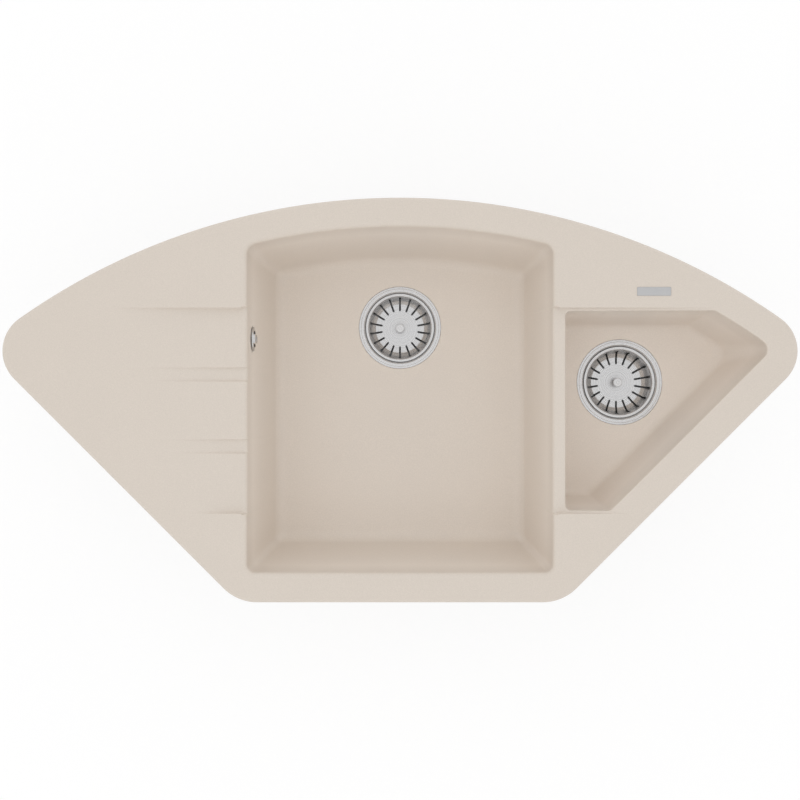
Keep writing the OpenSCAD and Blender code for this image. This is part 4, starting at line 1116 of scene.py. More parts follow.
def bowl_part(plan, ring, edge_r, floor_z, drain):
    """A bowl from its rounded edge down its walls and over its floor to the drain"""
    bowls = plan.bowls
    outer = ring(-edge_r)
    height = plan.deck_height(outer[:, 0], outer[:, 1])
    rings = []
    for a in angles(90, 0, 8):
        rings.append(lift(ring(edge_r * (math.cos(a) - 1)), height - edge_r * (1 - math.sin(a))))
    profile = plan.bowl_profile(floor_z, 0)
    foot_inset, foot_z = profile[-1]
    low = rings[-1][:, 2]
    for share in (0.08, 0.25, 0.4, 0.55, 0.68, 0.8, 0.91):
        rings.append(lift(ring(foot_inset * share), low + (foot_z - low) * share))
    rings += [lift(ring(inset), z) for inset, z in profile[-2::-1]]
    flat = ring(profile[0][0])
    away = flat - np.array(drain[:2])
    boss = np.array(drain[:2]) + away / np.linalg.norm(away, axis=1)[:, None] * bowls.boss_r
    for share in np.linspace(0.1, 1, 10):
        rings.append(lift(flat + (boss - flat) * share, floor_z + (drain[2] - floor_z) * share))
    points, faces = skin(rings)
    centre = len(points)
    last = centre - len(flat)
    fan = [[last + i, last + (i + 1) % len(flat), centre] for i in range(len(flat))]
    return np.concatenate([points, [drain]]), faces + fan


def rim_part(plan):
    """The rounded edge of the deck"""
    rim = plan.rim

    def rounded(r, turn):
        """Outlines and heights over the foot of a rounded edge"""
        return [(plan.outline(r * (1 - math.cos(a))), r * (1 - math.sin(a))) for a in turn]

    rings = [lift(ring, z) for ring, z in rounded(rim.foot_r, angles(90, 0, 4))]
    rings += [lift(ring, rim.height - z) for ring, z in rounded(rim.edge_r, angles(0, 90, 11))]
    return skin(rings + [lift(plan.outline(RIM_RING), rim.height)])


def slab_part(plan):
    """The underside of the deck, closed by a cover that is taken off later"""
    rim = plan.rim
    low = -rim.sunk
    far = rim.seal_in + rim.seal_w
    steps = [
        (rim.foot_r, 0.003), (rim.foot_r, 0),
        (rim.seal_in, 0), (rim.seal_in, rim.seal_h), (far, rim.seal_h), (far, 0),
        (rim.lip - 0.0012, 0), (rim.lip - 0.0004, -0.0003), (rim.lip, -0.0012),
        (rim.lip, low + 0.0016), (rim.lip + 0.0005, low + 0.0005), (rim.lip + 0.0016, low),
    ]
    return closed_ends(skin([lift(plan.outline(inset), z) for inset, z in steps]), len(plan.outline(0)))


def shell_part(plan, ring, floor_z):
    """The outside of a bowl, flared where it meets the deck"""
    bowls = plan.bowls
    flare = 0.005
    low = floor_z - bowls.floor_t
    profile = plan.bowl_profile(floor_z, bowls.wall)
    lower = [(inset, max(low, z + bowls.wall - bowls.floor_t)) for inset, z in profile]
    foot_inset, foot_z = lower[-1]
    top = -plan.rim.sunk - flare

    def drawn(z):
        """Inset of the straight wall at a height"""
        return -bowls.wall + (foot_inset + bowls.wall) * (top - z) / (top - foot_z)

    steps = [(-bowls.wall - flare, 0.001)]
    for a in angles(12, 90, 6):
        steps.append((-bowls.wall - flare * (1 - math.sin(a)), top + flare * math.cos(a)))
    steps += [(drawn(z), z) for z in np.linspace(top, foot_z, 4)[1:-1]]
    steps += lower[::-1]
    return closed_ends(skin([lift(ring(inset), z) for inset, z in steps]), len(ring(0)))


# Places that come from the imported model

def middle_of(node):
    """The middle of a node's box"""
    low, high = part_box(node)
    return (low + high) / 2


def heights(node, place):
    """The heights of a node's foot and top over a place"""
    low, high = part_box(node)
    return low.z - place.z, high.z - place.z


def drain_place(which):
    """The middle of a drain, at the top of its strainer"""
    node = which + "_strainer_cup"
    middle = middle_of(node)
    return Vector((middle.x, middle.y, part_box(node)[1].z))


def overflow_place(node):
    """The end of an overflow part towards the bowl, on the overflow's axis"""
    middle = middle_of("overflow_gasket")
    return Vector((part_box(node)[1].x, middle.y, middle.z))


def clip_places(plan):
    """The six clips: their places and the ways that their claws point"""
    places = []
    for k in range(1, 7):
        x, y, _ = middle_of("clip_screw_" + str(k))
        if y > 0:
            way = math.atan2(y - plan.back_y, x)
        elif y < -0.2:
            way = -math.pi / 2
        else:
            way = math.radians(-45 if x > 0 else 225)
        places.append((x, y, way))
    return places


def corner_plate(width, depth, r):
    """The ring of a rectangle with round corners"""
    x, y = width / 2 - r, depth / 2 - r
    signs = ((1, -1), (1, 1), (-1, 1), (-1, -1))
    return ring_of([(x * i, y * j, r, 90 * k - 90, 90 * k, 5) for k, (i, j) in enumerate(signs)], [0] * 4)


def round_bar(r, low, high, segments=48, chamfer=0.0):
    """A plain turned bar, with rounded edges where a chamfer is given"""
    profile = [(0.0, low), (r, low), (r, high), (0.0, high)]
    if chamfer:
        profile = soften(profile, [0, chamfer, chamfer, 0], 3, closed=False)
    inner = [p for p in profile if p[0] > 1e-7]
    return drum(inner, segments)


def dish(cup):
    """The slope of a cup's dish, and how much a wall's thickness lowers it"""
    slope = cup.dish_h / (cup.dish_r - cup.hole_r + cup.play + cup.steel_t)
    return slope, math.sqrt(1 + slope * slope)


def drain_tool(scene):
    """The tool that cuts a drain: its rebate, its seat and its hole"""
    cup, boss_h = scene.sink_strainers, scene.sink_bowls.boss_h
    slope, thick = dish(cup)
    below = (cup.steel_t + cup.play) * thick
    rebate_r = cup.flange_r + cup.play
    seat_r = cup.dish_r + (below - cup.seat) / slope
    turn = 0.0007
    profile = [(rebate_r + turn * 1.3, 0.002), (rebate_r + turn, 0.0003)]
    for a in angles(100, 180, 5):
        profile.append((rebate_r + turn + turn * math.cos(a), turn * (math.sin(a) - 1)))
    profile += [(rebate_r, -cup.seat), (seat_r, -cup.seat)]
    profile += [(cup.hole_r, slope * (cup.hole_r - cup.dish_r) - below), (cup.hole_r, -boss_h - OVERLAP)]
    return drum(profile, 128)


class SINK_OT_body(bpy.types.Operator):
    """Make the stone body, with its rim, drainer and two bowls"""
    bl_idname = "sink.body"
    bl_label = "Stone body"

    def execute(self, context):
        scene = context.scene
        plan = Plan()
        bowls = plan.bowls
        main, small = drain_place("main"), drain_place("small")
        body = make_piece("stone_body", [
            rim_part(plan), deck_part(plan),
            bowl_part(plan, plan.main_ring, bowls.edge_r, plan.main_floor, main),
            bowl_part(plan, plan.small_ring, bowls.small_edge_r, plan.small_floor, small),
            self.underside(scene, plan, main, small)], [0, 0, 0, 0, 1])
        tools = [moved(drain_tool(scene), main), moved(drain_tool(scene), small)]
        tools += [self.overflow_tool(scene), self.badge_tool(plan)]
        raw = self.raw_tools(scene, plan)
        cutters = make_piece("cutters", tools + raw, [0] * len(tools) + [1] * len(raw))
        for piece in (body, cutters):
            piece.data.materials.append(finish_of("composite_stone_fine"))
            piece.data.materials.append(finish_of("composite_stone_raw"))
        carve(body, cutters)
        finish_piece(body, ROOT, "sink_body", None, 42)
        return {"FINISHED"}

    def underside(self, scene, plan, main, small):
        """The underside of the moulding as one open part, with its shells, bosses, lugs and pad"""
        rim, bowls, clips = plan.rim, plan.bowls, scene.sink_clips
        under = make_piece("underside", [slab_part(plan)])
        boss = round_bar(bowls.boss_r, -bowls.boss_h, -0.004, 96, 0.0012)
        lug = round_bar(clips.lug_r, -rim.sunk - clips.lug_h, OVERLAP, 48, 0.0008)
        pad = round_bar(scene.sink_overflow.pad_r, 0, 0.0103, 72, 0.0008)
        join(
            under,
            shell_part(plan, plan.main_ring, plan.main_floor),
            shell_part(plan, plan.small_ring, plan.small_floor),
            moved(boss, main), moved(boss, small),
            *[moved(lug, (x, y, 0)) for x, y, way in clip_places(plan)],
            moved(pad, overflow_place("overflow_gasket"), "X"), overlap=True)
        work = bmesh.new()
        work.from_mesh(under.data)
        cover = [point for point in work.verts if point.co.z > 0.0025]
        bmesh.ops.delete(work, geom=cover, context="VERTS")
        work.to_mesh(under.data)
        work.free()
        points = np.array([point.co for point in under.data.vertices])
        faces = [list(face.vertices) for face in under.data.polygons]
        bpy.data.objects.remove(under)
        return points, faces

    def overflow_tool(self, scene):
        """The tool that cuts the overflow's hole and the seat of its cover"""
        sizes, place = scene.sink_overflow, overflow_place("overflow_gasket")
        cover_r = sizes.cover_r + 0.0003
        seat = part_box("overflow_cover")[0].x - place.x
        profile = [(sizes.hole_r, -OVERLAP), (sizes.hole_r, seat), (cover_r, seat), (cover_r, seat + 0.016)]
        return moved(drum(profile, 96), place, "X")

    def badge_tool(self, plan):
        """The tool that cuts the deck plate's seat"""
        low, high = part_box("badge_plate")
        size, middle = high - low, (low + high) / 2
        ring = corner_plate(size.x + 0.0002, size.y + 0.0002, 0.0012)
        return moved(plate(ring, low.z, plan.rim.height + OVERLAP), (middle.x, middle.y, 0))

    def raw_tools(self, scene, plan):
        """The tools that cut the holes of the inserts and the recesses of the taps"""
        rim, clips = plan.rim, scene.sink_clips
        hole = round_bar(clips.insert_r, -rim.sunk - clips.lug_h - OVERLAP, 0.003)
        tap = round_bar(rim.tap_r, -rim.sunk - OVERLAP, rim.height - rim.tap_cap, 72)
        holes = [moved(hole, (x, y, 0)) for x, y, way in clip_places(plan)]
        return holes + [moved(tap, (side * rim.tap_x, rim.tap_y, 0)) for side in (-1, 1)]


class SINK_OT_seal(bpy.types.Operator):
    """Make the rubber seal in its groove under the rim"""
    bl_idname = "sink.seal"
    bl_label = "Rim seal"

    def execute(self, context):
        plan = Plan()
        rim = plan.rim
        play, edge, foot = 0.00002, 0.0004, 0.00005
        near, far = rim.seal_in + play, rim.seal_in + rim.seal_w - play
        high = rim.seal_h - play
        steps = [(near, foot), (near, high - edge), (near + edge, high), (far - edge, high)]
        steps += [(far, high - edge), (far, foot)]
        for a in angles(0, 180, 5)[1:-1]:
            steps.append((far - (far - near) * (1 - math.cos(a)) / 2, edge * math.sin(a)))
        steps.append(steps[0])
        piece = make_piece("rim_gasket", [skin([lift(plan.outline(inset), z) for inset, z in steps])])
        finish_piece(piece, ROOT, "rim_seal", finish_of("soft_rubber"))
        return {"FINISHED"}


class SINK_OT_badge(bpy.types.Operator):
    """Make the plain plate on the right of the deck"""
    bl_idname = "sink.badge"
    bl_label = "Deck plate"

    def execute(self, context):
        low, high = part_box("badge_plate")
        size, middle = high - low, (low + high) / 2
        part = plate(corner_plate(size.x, size.y, 0.0011), low.z, high.z, 0.0003)
        piece = make_piece("deck_plate", [moved(part, (middle.x, middle.y, 0))])
        finish_piece(piece, ROOT, "badge_plate", finish_of("satin_plate"), 30)
        return {"FINISHED"}


# The strainers and the wastes

def upright(part):
    """A flat part stood on its edge, with its height along Y"""
    points = np.asarray(part[0])[:, [0, 2, 1]]
    return points, part[1]


def set_down(piece, place, body, node, material, angle=38):
    """Move a turned piece's mesh to its place, and finish it"""
    piece.data.transform(Matrix.Translation(Vector(place)))
    finish_piece(piece, body, node, material, angle)


def turned_steel(which, kind="turned_steel", painted_shade_level=1.0):
    """The turned steel of one strainer, centred on its drain, with painted shade below its centre at the
    given level, where one leaves it unshaded
    """
    return turned_finish(
        which + "_" + kind, bpy.context.scene.sink_finishes.steel, 0.26, drain_place(which), painted_shade_level)


def insert_profile(bore_r, r, groove, low, high):
    """The profile of a threaded insert with three grooves round it"""
    steps = [(bore_r, low), (r, low)]
    for z in np.linspace(low, high, 5)[1:-1]:
        steps += [(r, z - 0.0008), (r - groove, z - 0.0004), (r - groove, z + 0.0004), (r, z + 0.0008)]
    return steps + [(r, high), (bore_r, high)]


class SINK_OT_cups(bpy.types.Operator):
    """Make the steel cups that line the two drains"""
    bl_idname = "sink.cups"
    bl_label = "Strainer cups"

    def execute(self, context):
        cup = context.scene.sink_strainers
        screw_r = context.scene.sink_wastes.screw_r
        slope, thick = dish(cup)
        outer = cup.hole_r - cup.play
        inner = outer - cup.steel_t
        t, low = cup.steel_t, -cup.cup_h
        profile = soften([
            (0, low), (outer, low), (outer, slope * (outer - cup.dish_r) - t * thick),
            (cup.dish_r + t * (thick - 1) / slope, -t), (cup.flange_r, -t), (cup.flange_r, -t / 2),
            (cup.lip_r, -t / 2), (cup.lip_r - t / 3, 0), (cup.dish_r, 0),
            (inner, slope * (inner - cup.dish_r)), (inner, low + t), (0, low + t),
        ], [0, 0.003, 0.001, 0.001, 0.0002, 0.0002, 0.0001, 0.0003, 0.0012, 0.0012, 0.002, 0],
            5, closed=False)
        for which in DRAINS:
            piece = make_piece(which + "_drain_cup", [turned_solid(profile, 128)])
            hole = round_bar(screw_r + PLAY, low - OVERLAP, low + t + OVERLAP)
            cut(piece, hole)
            outlet = round_bar(cup.outlet_r, low - OVERLAP, low + t + OVERLAP, 32)
            tool = make_piece("outlet", [moved(outlet, (cup.outlet_pitch_r, 0, 0))])
            # The cups' steel is darkened to 0.16 below its centre: painted shade deep inside the cup
            steel = turned_steel(which, "drawn_steel", 0.16)
            run_tree(piece, cut_tree, tool=tool, count=cup.outlet_count, start=0.0, material=steel)
            set_down(piece, drain_place(which), ROOT, which + "_strainer_cup", steel)
        return {"FINISHED"}


class SINK_OT_baskets(bpy.types.Operator):
    """Make the two baskets with their slots and knobs"""
    bl_idname = "sink.baskets"
    bl_label = "Strainer baskets"

    def execute(self, context):
        cup = context.scene.sink_strainers
        for which in DRAINS:
            place = drain_place(which)
            steel = turned_steel(which)
            body = which + "_strainer"
            under, top = heights(which + "_basket", place)
            basket = turned_solid(self.basket_profile(cup, under, top), 144)
            piece = make_piece(which + "_slotted_basket", [basket])
            long = cup.basket_r - cup.slot_from
            ring = corner_plate(long, cup.slot_w, cup.slot_w / 2 - 0.00001)
            ring[:, 0] += cup.slot_from + long / 2
            tool = make_piece("slot", [plate(ring, under - OVERLAP, -cup.slot_top)])
            run_tree(piece, cut_tree, tool=tool, count=cup.slot_count, start=math.pi / 2, material=steel)
            set_down(piece, place, body, which + "_basket", steel)
            knob_profile = self.knob_profile(cup, *heights(which + "_basket_knob", place))
            knob = make_piece(which + "_turned_knob", [turned_solid(knob_profile, 64)])
            set_down(knob, place, body, which + "_basket_knob", steel)
        return {"FINISHED"}

    def basket_profile(self, cup, under, top):
        """A basket's profile: up its outside from the floor to the curled rim, and down its inside"""
        t = cup.basket_t
        wall_r = cup.hole_r - cup.play - cup.steel_t - 2 * cup.play
        foot_r = cup.low_r - (cup.low_r - cup.floor_r) / 4
        rim_r = cup.basket_r - cup.basket_rim
        return soften([
            (0, under), (cup.floor_r, under), (foot_r + t, under + cup.foot_h / 2),
            (cup.low_r + t, under + cup.foot_h), (wall_r, top - t - cup.basket_curl),
            (rim_r + t, top - t), (cup.basket_r, top - t), (cup.basket_r, top),
            (rim_r, top), (wall_r - t, top - cup.basket_curl),
            (cup.low_r, under + cup.foot_h + t), (foot_r, under + t + cup.foot_h / 2),
            (cup.floor_r - t / 2, under + t), (0, under + t),
        ], [0, 0.002, 0.004, 0.002, 0.001, 0.0015, 0.0003, 0.0004, 0.0016, 0.001, 0.002, 0.004, 0.002, 0],
            4, closed=False)

    def knob_profile(self, cup, foot, top):
        """A knob's profile: its foot, its stem and its head"""
        neck = top - 0.004
        return soften([
            (0, foot), (cup.knob_stem_r * 1.5, foot), (cup.knob_stem_r, foot + 0.0012),
            (cup.knob_stem_r, neck), (cup.knob_r, neck + 0.001), (cup.knob_r, top), (0, top),
        ], [0, 0.0002, 0.0008, 0.0008, 0.0004, 0.0006, 0], 5, closed=False)


class SINK_OT_stoppers(bpy.types.Operator):
    """Make the seals and the pins under the baskets"""
    bl_idname = "sink.stoppers"
    bl_label = "Stopper seals and pins"

    def execute(self, context):
        cup = context.scene.sink_strainers
        for which in DRAINS:
            place = drain_place(which)
            foot, top = heights(which + "_stopper_seal", place)
            lip, web = cup.seal_r - 0.003, top - 0.003
            profile = soften([
                (cup.seal_bore_r, top), (cup.seal_bore_r, web), (lip - 0.001, web), (lip, foot),
                (cup.seal_r, foot), (cup.seal_r, foot + 0.002), (cup.seal_r - 0.001, top),
            ], [0.0004, 0.0004, 0.001, 0.0004, 0.0006, 0.0008, 0.0006], 4)
            piece = make_piece(which + "_rubber_seal", [lathe(profile, 96)])
            rubber = finish_of("soft_rubber")
            set_down(piece, place, which + "_strainer", which + "_stopper_seal", rubber)
            foot, top = heights(which + "_stopper_pin", place)
            bar = round_bar(cup.pin_r, foot, top - 0.0002, 48, 0.0006)
            pin = make_piece(which + "_guide_pin", [bar])
            steel = finish_of("bright_steel")
            set_down(pin, place, which + "_stopper", which + "_stopper_pin", steel)
        return {"FINISHED"}


class SINK_OT_gaskets(bpy.types.Operator):
    """Make the flat gaskets of the wastes and of the overflow"""
    bl_idname = "sink.gaskets"
    bl_label = "Gaskets"

    def execute(self, context):
        rubber = finish_of("soft_rubber")
        bores = {"cup_gasket": self.cup_bore(context), "lower_gasket": context.scene.sink_wastes.bore_r}
        for which in DRAINS:
            for kind, bore in bores.items():
                node = which + "_" + kind
                low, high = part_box(node)
                middle = middle_of(node)
                ring = self.washer(bore, (high.x - low.x) / 2, low.z, high.z)
                piece = make_piece(node + "_ring", [moved(ring, (middle.x, middle.y, 0))])
                finish_piece(piece, ROOT, node, rubber)
        low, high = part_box("overflow_gasket")
        hole_r = context.scene.sink_overflow.hole_r
        ring = self.washer(hole_r, (high.y - low.y) / 2, low.x - high.x, 0)
        piece = make_piece("overflow_gasket_ring", [moved(ring, overflow_place("overflow_gasket"), "X")])
        finish_piece(piece, ROOT, "overflow_gasket", rubber)
        return {"FINISHED"}

    def cup_bore(self, context):
        """The bore of the gasket in the seat"""
        cup = context.scene.sink_strainers
        slope, thick = dish(cup)
        return cup.dish_r + ((cup.steel_t + cup.play) * thick - cup.seat) / slope

    def washer(self, bore, r, low, high):
        """A flat ring with rounded edges"""
        return lathe(soften([(bore, low), (r, low), (r, high), (bore, high)], 0.0003, 3), 96)


class SINK_OT_wastes(bpy.types.Operator):
    """Make the plastic wastes that clamp the cups from below"""
    bl_idname = "sink.wastes"
    bl_label = "Wastes"

    def execute(self, context):
        waste = context.scene.sink_wastes
        white = finish_of("white_moulding")
        end = -waste.thread_top - waste.thread_l
        hub = soften([
            (waste.insert_r, -waste.hub_top), (waste.hub_r, -waste.hub_top),
            (waste.hub_r, -waste.hub_top - waste.hub_h), (waste.insert_r, -waste.hub_top - waste.hub_h),
        ], 0.0006, 3)
        for which in DRAINS:
            piece = make_piece(which + "_waste", [lathe(self.profile(waste, end), 120)])
            run_tree(piece, thread_tree, pitch=waste.thread_pitch, depth=0.0011, low=end + 0.0005,
                     high=-waste.thread_top - 0.001, radius=waste.thread_r - 0.0003, material=white)
            if which == "main":
                self.add_spigot(piece, waste)
            join(piece, lathe(hub, 72))
            web = plate(self.web(waste), -waste.rib_t / 2, waste.rib_t / 2)
            rib = make_piece("rib", [upright(web)])
            run_tree(piece, rib_tree, tool=rib, count=3, start=math.pi / 3, material=white)
            set_down(piece, drain_place(which), ROOT, which + "_waste_body", white)
        return {"FINISHED"}

    def profile(self, waste, end):
        """A waste's profile: down its bore to the outlet, and up its outside to the flange"""
        outer = waste.bore_r + waste.wall
        turns = np.linspace(-waste.thread_top - 0.002, end + 0.0015, 76)
        profile = soften([
            (waste.bore_r, -waste.top), (waste.bore_r, -waste.wall_h),
            (waste.outlet_r, -waste.thread_top), (waste.outlet_r, end),
        ], [0.0006, 0.005, 0.004, 0.0005], 4, closed=False)
        profile += [(waste.thread_r - 0.0008, end), (waste.thread_r, end + 0.001)]
        profile += [(waste.thread_r, z) for z in turns[::-1]]
        return profile + soften([
            (waste.thread_r, -waste.thread_top), (outer, -waste.wall_h - waste.wall / 2),
            (outer, -waste.top - waste.flange_t), (waste.flange_r, -waste.top - waste.flange_t),
            (waste.flange_r, -waste.top), (waste.bore_r, -waste.top),
        ], [0, 0.006, 0.0015, 0.001, 0.0006, 0], 4, closed=False)[:-1]

    def web(self, waste):
        """The outline of a rib between the hub and the wall"""
        low, high = -waste.hub_top - waste.hub_h + 0.002, -waste.hub_top - 0.002
        share = (-waste.wall_h - low) / (waste.thread_top - waste.wall_h)
        cone_r = waste.bore_r - (waste.bore_r - waste.outlet_r) * share
        near, far = waste.hub_r - OVERLAP, waste.bore_r + OVERLAP
        return np.array([
            [near, low], [cone_r + OVERLAP, low], [far, -waste.wall_h], [far, high], [near, high]])

    def add_spigot(self, piece, waste):
        """Join the overflow's spigot to a waste, and bore it"""
        bar = round_bar(waste.spigot_r, waste.bore_r + OVERLAP, waste.spigot_end, 64, 0.0006)
        bore = round_bar(waste.spigot_bore_r, waste.bore_r - 0.004, waste.spigot_end + 0.004, 48)
        for part, work in ((bar, join), (bore, cut)):
            work(piece, moved(part, (0, 0, -waste.spigot_drop), "X", hose_way()))


class SINK_OT_screws(bpy.types.Operator):
    """Make the screws that clamp the wastes, and their brass inserts"""
    bl_idname = "sink.screws"
    bl_label = "Clamp screws"

    def execute(self, context):
        waste, cup = context.scene.sink_wastes, context.scene.sink_strainers
        steel, brass = finish_of("bright_steel"), finish_of("turned_brass")
        seat = cup.steel_t - cup.cup_h
        end = seat - waste.screw_l
        rows = [(waste.screw_r, z) for z in np.linspace(end + 0.0008, seat - 0.001, 100)]
        profile = [(0, end), (waste.screw_r - 0.0008, end), *rows]
        profile += [(waste.screw_r, seat + 0.0005), (0, seat + 0.0005)]
        head = plate(hexagon(waste.head_r), seat, seat + waste.head_h, 0.0006)
        for which in DRAINS:
            place = drain_place(which)
            piece = make_piece(which + "_hollow_screw", [turned_solid(profile, 48)])
            run_tree(piece, thread_tree, pitch=0.0015, depth=0.0007, low=end, high=seat - 0.001,
                     radius=waste.screw_r - 0.0003, material=steel)
            join(piece, head)
            foot = heights(which + "_stopper_pin", place)[0]
            cut(piece, round_bar(cup.pin_r + 0.0003, foot - 0.0015, 0, 40))
            set_down(piece, place, ROOT, which + "_clamp_screw", steel, 30)
            low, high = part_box(which + "_waste_insert")
            steps = insert_profile(
                waste.screw_r + PLAY, (high.x - low.x) / 2, 0.0006, low.z - place.z, high.z - place.z)
            insert = make_piece(which + "_brass_insert", [lathe(soften(steps, 0.0002, 2), 72)])
            set_down(insert, place, ROOT, which + "_waste_insert", brass, 30)
        return {"FINISHED"}


# The overflow

def hose_way():
    """The way from the main drain to the overflow, as an angle"""
    way = middle_of("overflow_upper_nut") - drain_place("main")
    return math.atan2(way.y, way.x)


def band_of_disc(r, low, high, steps=12):
    """The ring of the part of a disc between two lines"""
    ends = [math.asin(max(-1, min(1, y / r))) for y in (low, high)]
    right = [(r * math.cos(a), r * math.sin(a)) for a in np.linspace(ends[0], ends[1], steps)]
    return np.array(right + [(-x, y) for x, y in right[::-1]])


class SINK_OT_cover(bpy.types.Operator):
    """Make the cover of the overflow, with its bridge and its screw"""
    bl_idname = "sink.cover"
    bl_label = "Overflow cover"

    def execute(self, context):
        sizes = context.scene.sink_overflow
        chrome = finish_of("chrome_plate")
        middle = middle_of("overflow_cover")
        place = Vector((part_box("overflow_cover")[0].x + sizes.cover_out, middle.y, middle.z))
        r, t = sizes.cover_r, sizes.cover_t
        top = t + sizes.bridge_h
        profile = soften([(0, 0), (r, 0), (r, t - 0.0006), (r - 0.003, t), (0, t)],
                         [0, 0.0002, 0.0008, 0.002, 0], 5, closed=False)
        piece = make_piece("overflow_grille", [turned_solid(profile, 96)])
        bridge = band_of_disc(r - 0.001, -sizes.bridge_w / 2, sizes.bridge_w / 2)
        join(piece, plate(bridge, 0.0005, top, 0.0009, 5))
        slot_low = sizes.bridge_w / 2 + 0.001
        slots = [band_of_disc(sizes.hole_r - 0.001, start, start + sizes.slot_w)
                 for start in (slot_low, -slot_low - sizes.slot_w)]
        tools = [plate(ring, -OVERLAP, t + OVERLAP) for ring in slots]
        tools.append(round_bar(sizes.screw_r + PLAY, -OVERLAP, top + OVERLAP))
        cut(piece, *tools)
        self.turn_down(piece, place, "overflow_cover", chrome)
        low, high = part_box("overflow_screw")
        end, head = low.x - place.x, high.x - place.x + sizes.cover_out
        screw = make_piece("overflow_bolt", [turned_solid(self.screw_profile(sizes, end, top, head), 48)])
        run_tree(screw, thread_tree, pitch=0.001, depth=0.0004, low=end, high=top - 0.007,
                 radius=sizes.screw_r - 0.0002, material=chrome)
        cut(screw, block((-0.01, -0.0005, head - 0.0008), (0.01, 0.0005, head + OVERLAP)))
        self.turn_down(screw, place, "overflow_screw", chrome)
        return {"FINISHED"}

    def screw_profile(self, sizes, end, top, head):
        """The profile of the cover's screw: its threaded part and its domed head"""
        r = sizes.screw_r
        rows = [(r, z) for z in np.linspace(end + 0.0006, top - 0.006, 60)]
        dome = soften([(r, top), (2 * r, top), (2 * r, top + 0.0005), (r * 0.8, head), (0, head)],
                      [0, 0.0002, 0.0008, 0.003, 0], 5, closed=False)
        return [(0, end), (r - 0.0006, end), *rows, (r, top), *dome[1:]]

    def turn_down(self, piece, place, node, chrome):
        """Lay a turned piece along X and set it down"""
        piece.data.transform(Matrix.Rotation(math.pi / 2, 4, "Y"))
        set_down(piece, place, ROOT, node, chrome, 32)


class SINK_OT_elbow(bpy.types.Operator):
    """Make the elbow behind the overflow"""
    bl_idname = "sink.elbow"
    bl_label = "Overflow elbow"

    def execute(self, context):
        sizes, waste = context.scene.sink_overflow, context.scene.sink_wastes
        low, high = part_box("overflow_elbow")
        place = overflow_place("overflow_elbow")
        end, flange = low.x - high.x, -sizes.elbow_flange_t
        profile = soften([
            (0, end), (sizes.elbow_r, end), (sizes.elbow_r, flange), (sizes.elbow_flange_r, flange),
            (sizes.elbow_flange_r, 0), (0, 0),
        ], [0, 0.004, 0.0015, 0.0006, 0.0004, 0], 5, closed=False)
        piece = make_piece("overflow_chamber", [moved(turned_solid(profile, 96), place, "X")])
        foot = (middle_of("overflow_upper_nut").x, place.y, low.z)
        rise = place.z - low.z - 0.0007
        pipe = round_bar(waste.spigot_r, 0, rise, 64, 0.0006)
        join(piece, moved(pipe, foot))
        # 71 steps, as 72 would share points with the chamber's 96
        inner = round_bar(sizes.elbow_r - sizes.elbow_wall, end + sizes.elbow_wall, 0.003, 71)
        hollow = make_piece("hollow", [moved(inner, place, "X")])
        reach, half = sizes.elbow_r + OVERLAP, sizes.bar_h / 2
        bar = block((place.x - 2 * sizes.elbow_flange_t, place.y - reach, place.z - half),
                    (place.x + 0.006, place.y + reach, place.z + half))
        cut(hollow, bar)
        carve(piece, hollow)
        down = round_bar(waste.spigot_bore_r, -0.002, rise + 0.0003, 48)
        cut(piece, moved(down, foot))
        screw = round_bar(sizes.screw_r + PLAY, -0.02, 0.004, 40)
        cut(piece, moved(screw, place, "X"))
        rib = upright(plate(self.web(sizes, flange), -0.0009, 0.0009))
        ribs = [moved(moved(rib, (0, 0, 0), "Z", turn), place, "X") for turn in angles(45, 315, 4)]
        join(piece, *ribs, overlap=True)
        finish_piece(piece, ROOT, "overflow_elbow", finish_of("white_moulding"))
        return {"FINISHED"}

    def web(self, sizes, flange):
        """The outline of a gusset between the chamber and its flange"""
        near, far = sizes.elbow_r - 0.001, sizes.elbow_flange_r - 0.0005
        return np.array([
            [near, flange + 0.0005], [far, flange + 0.0005],
            [sizes.elbow_flange_r - 0.001, flange - 0.001], [near, flange - 0.01]])


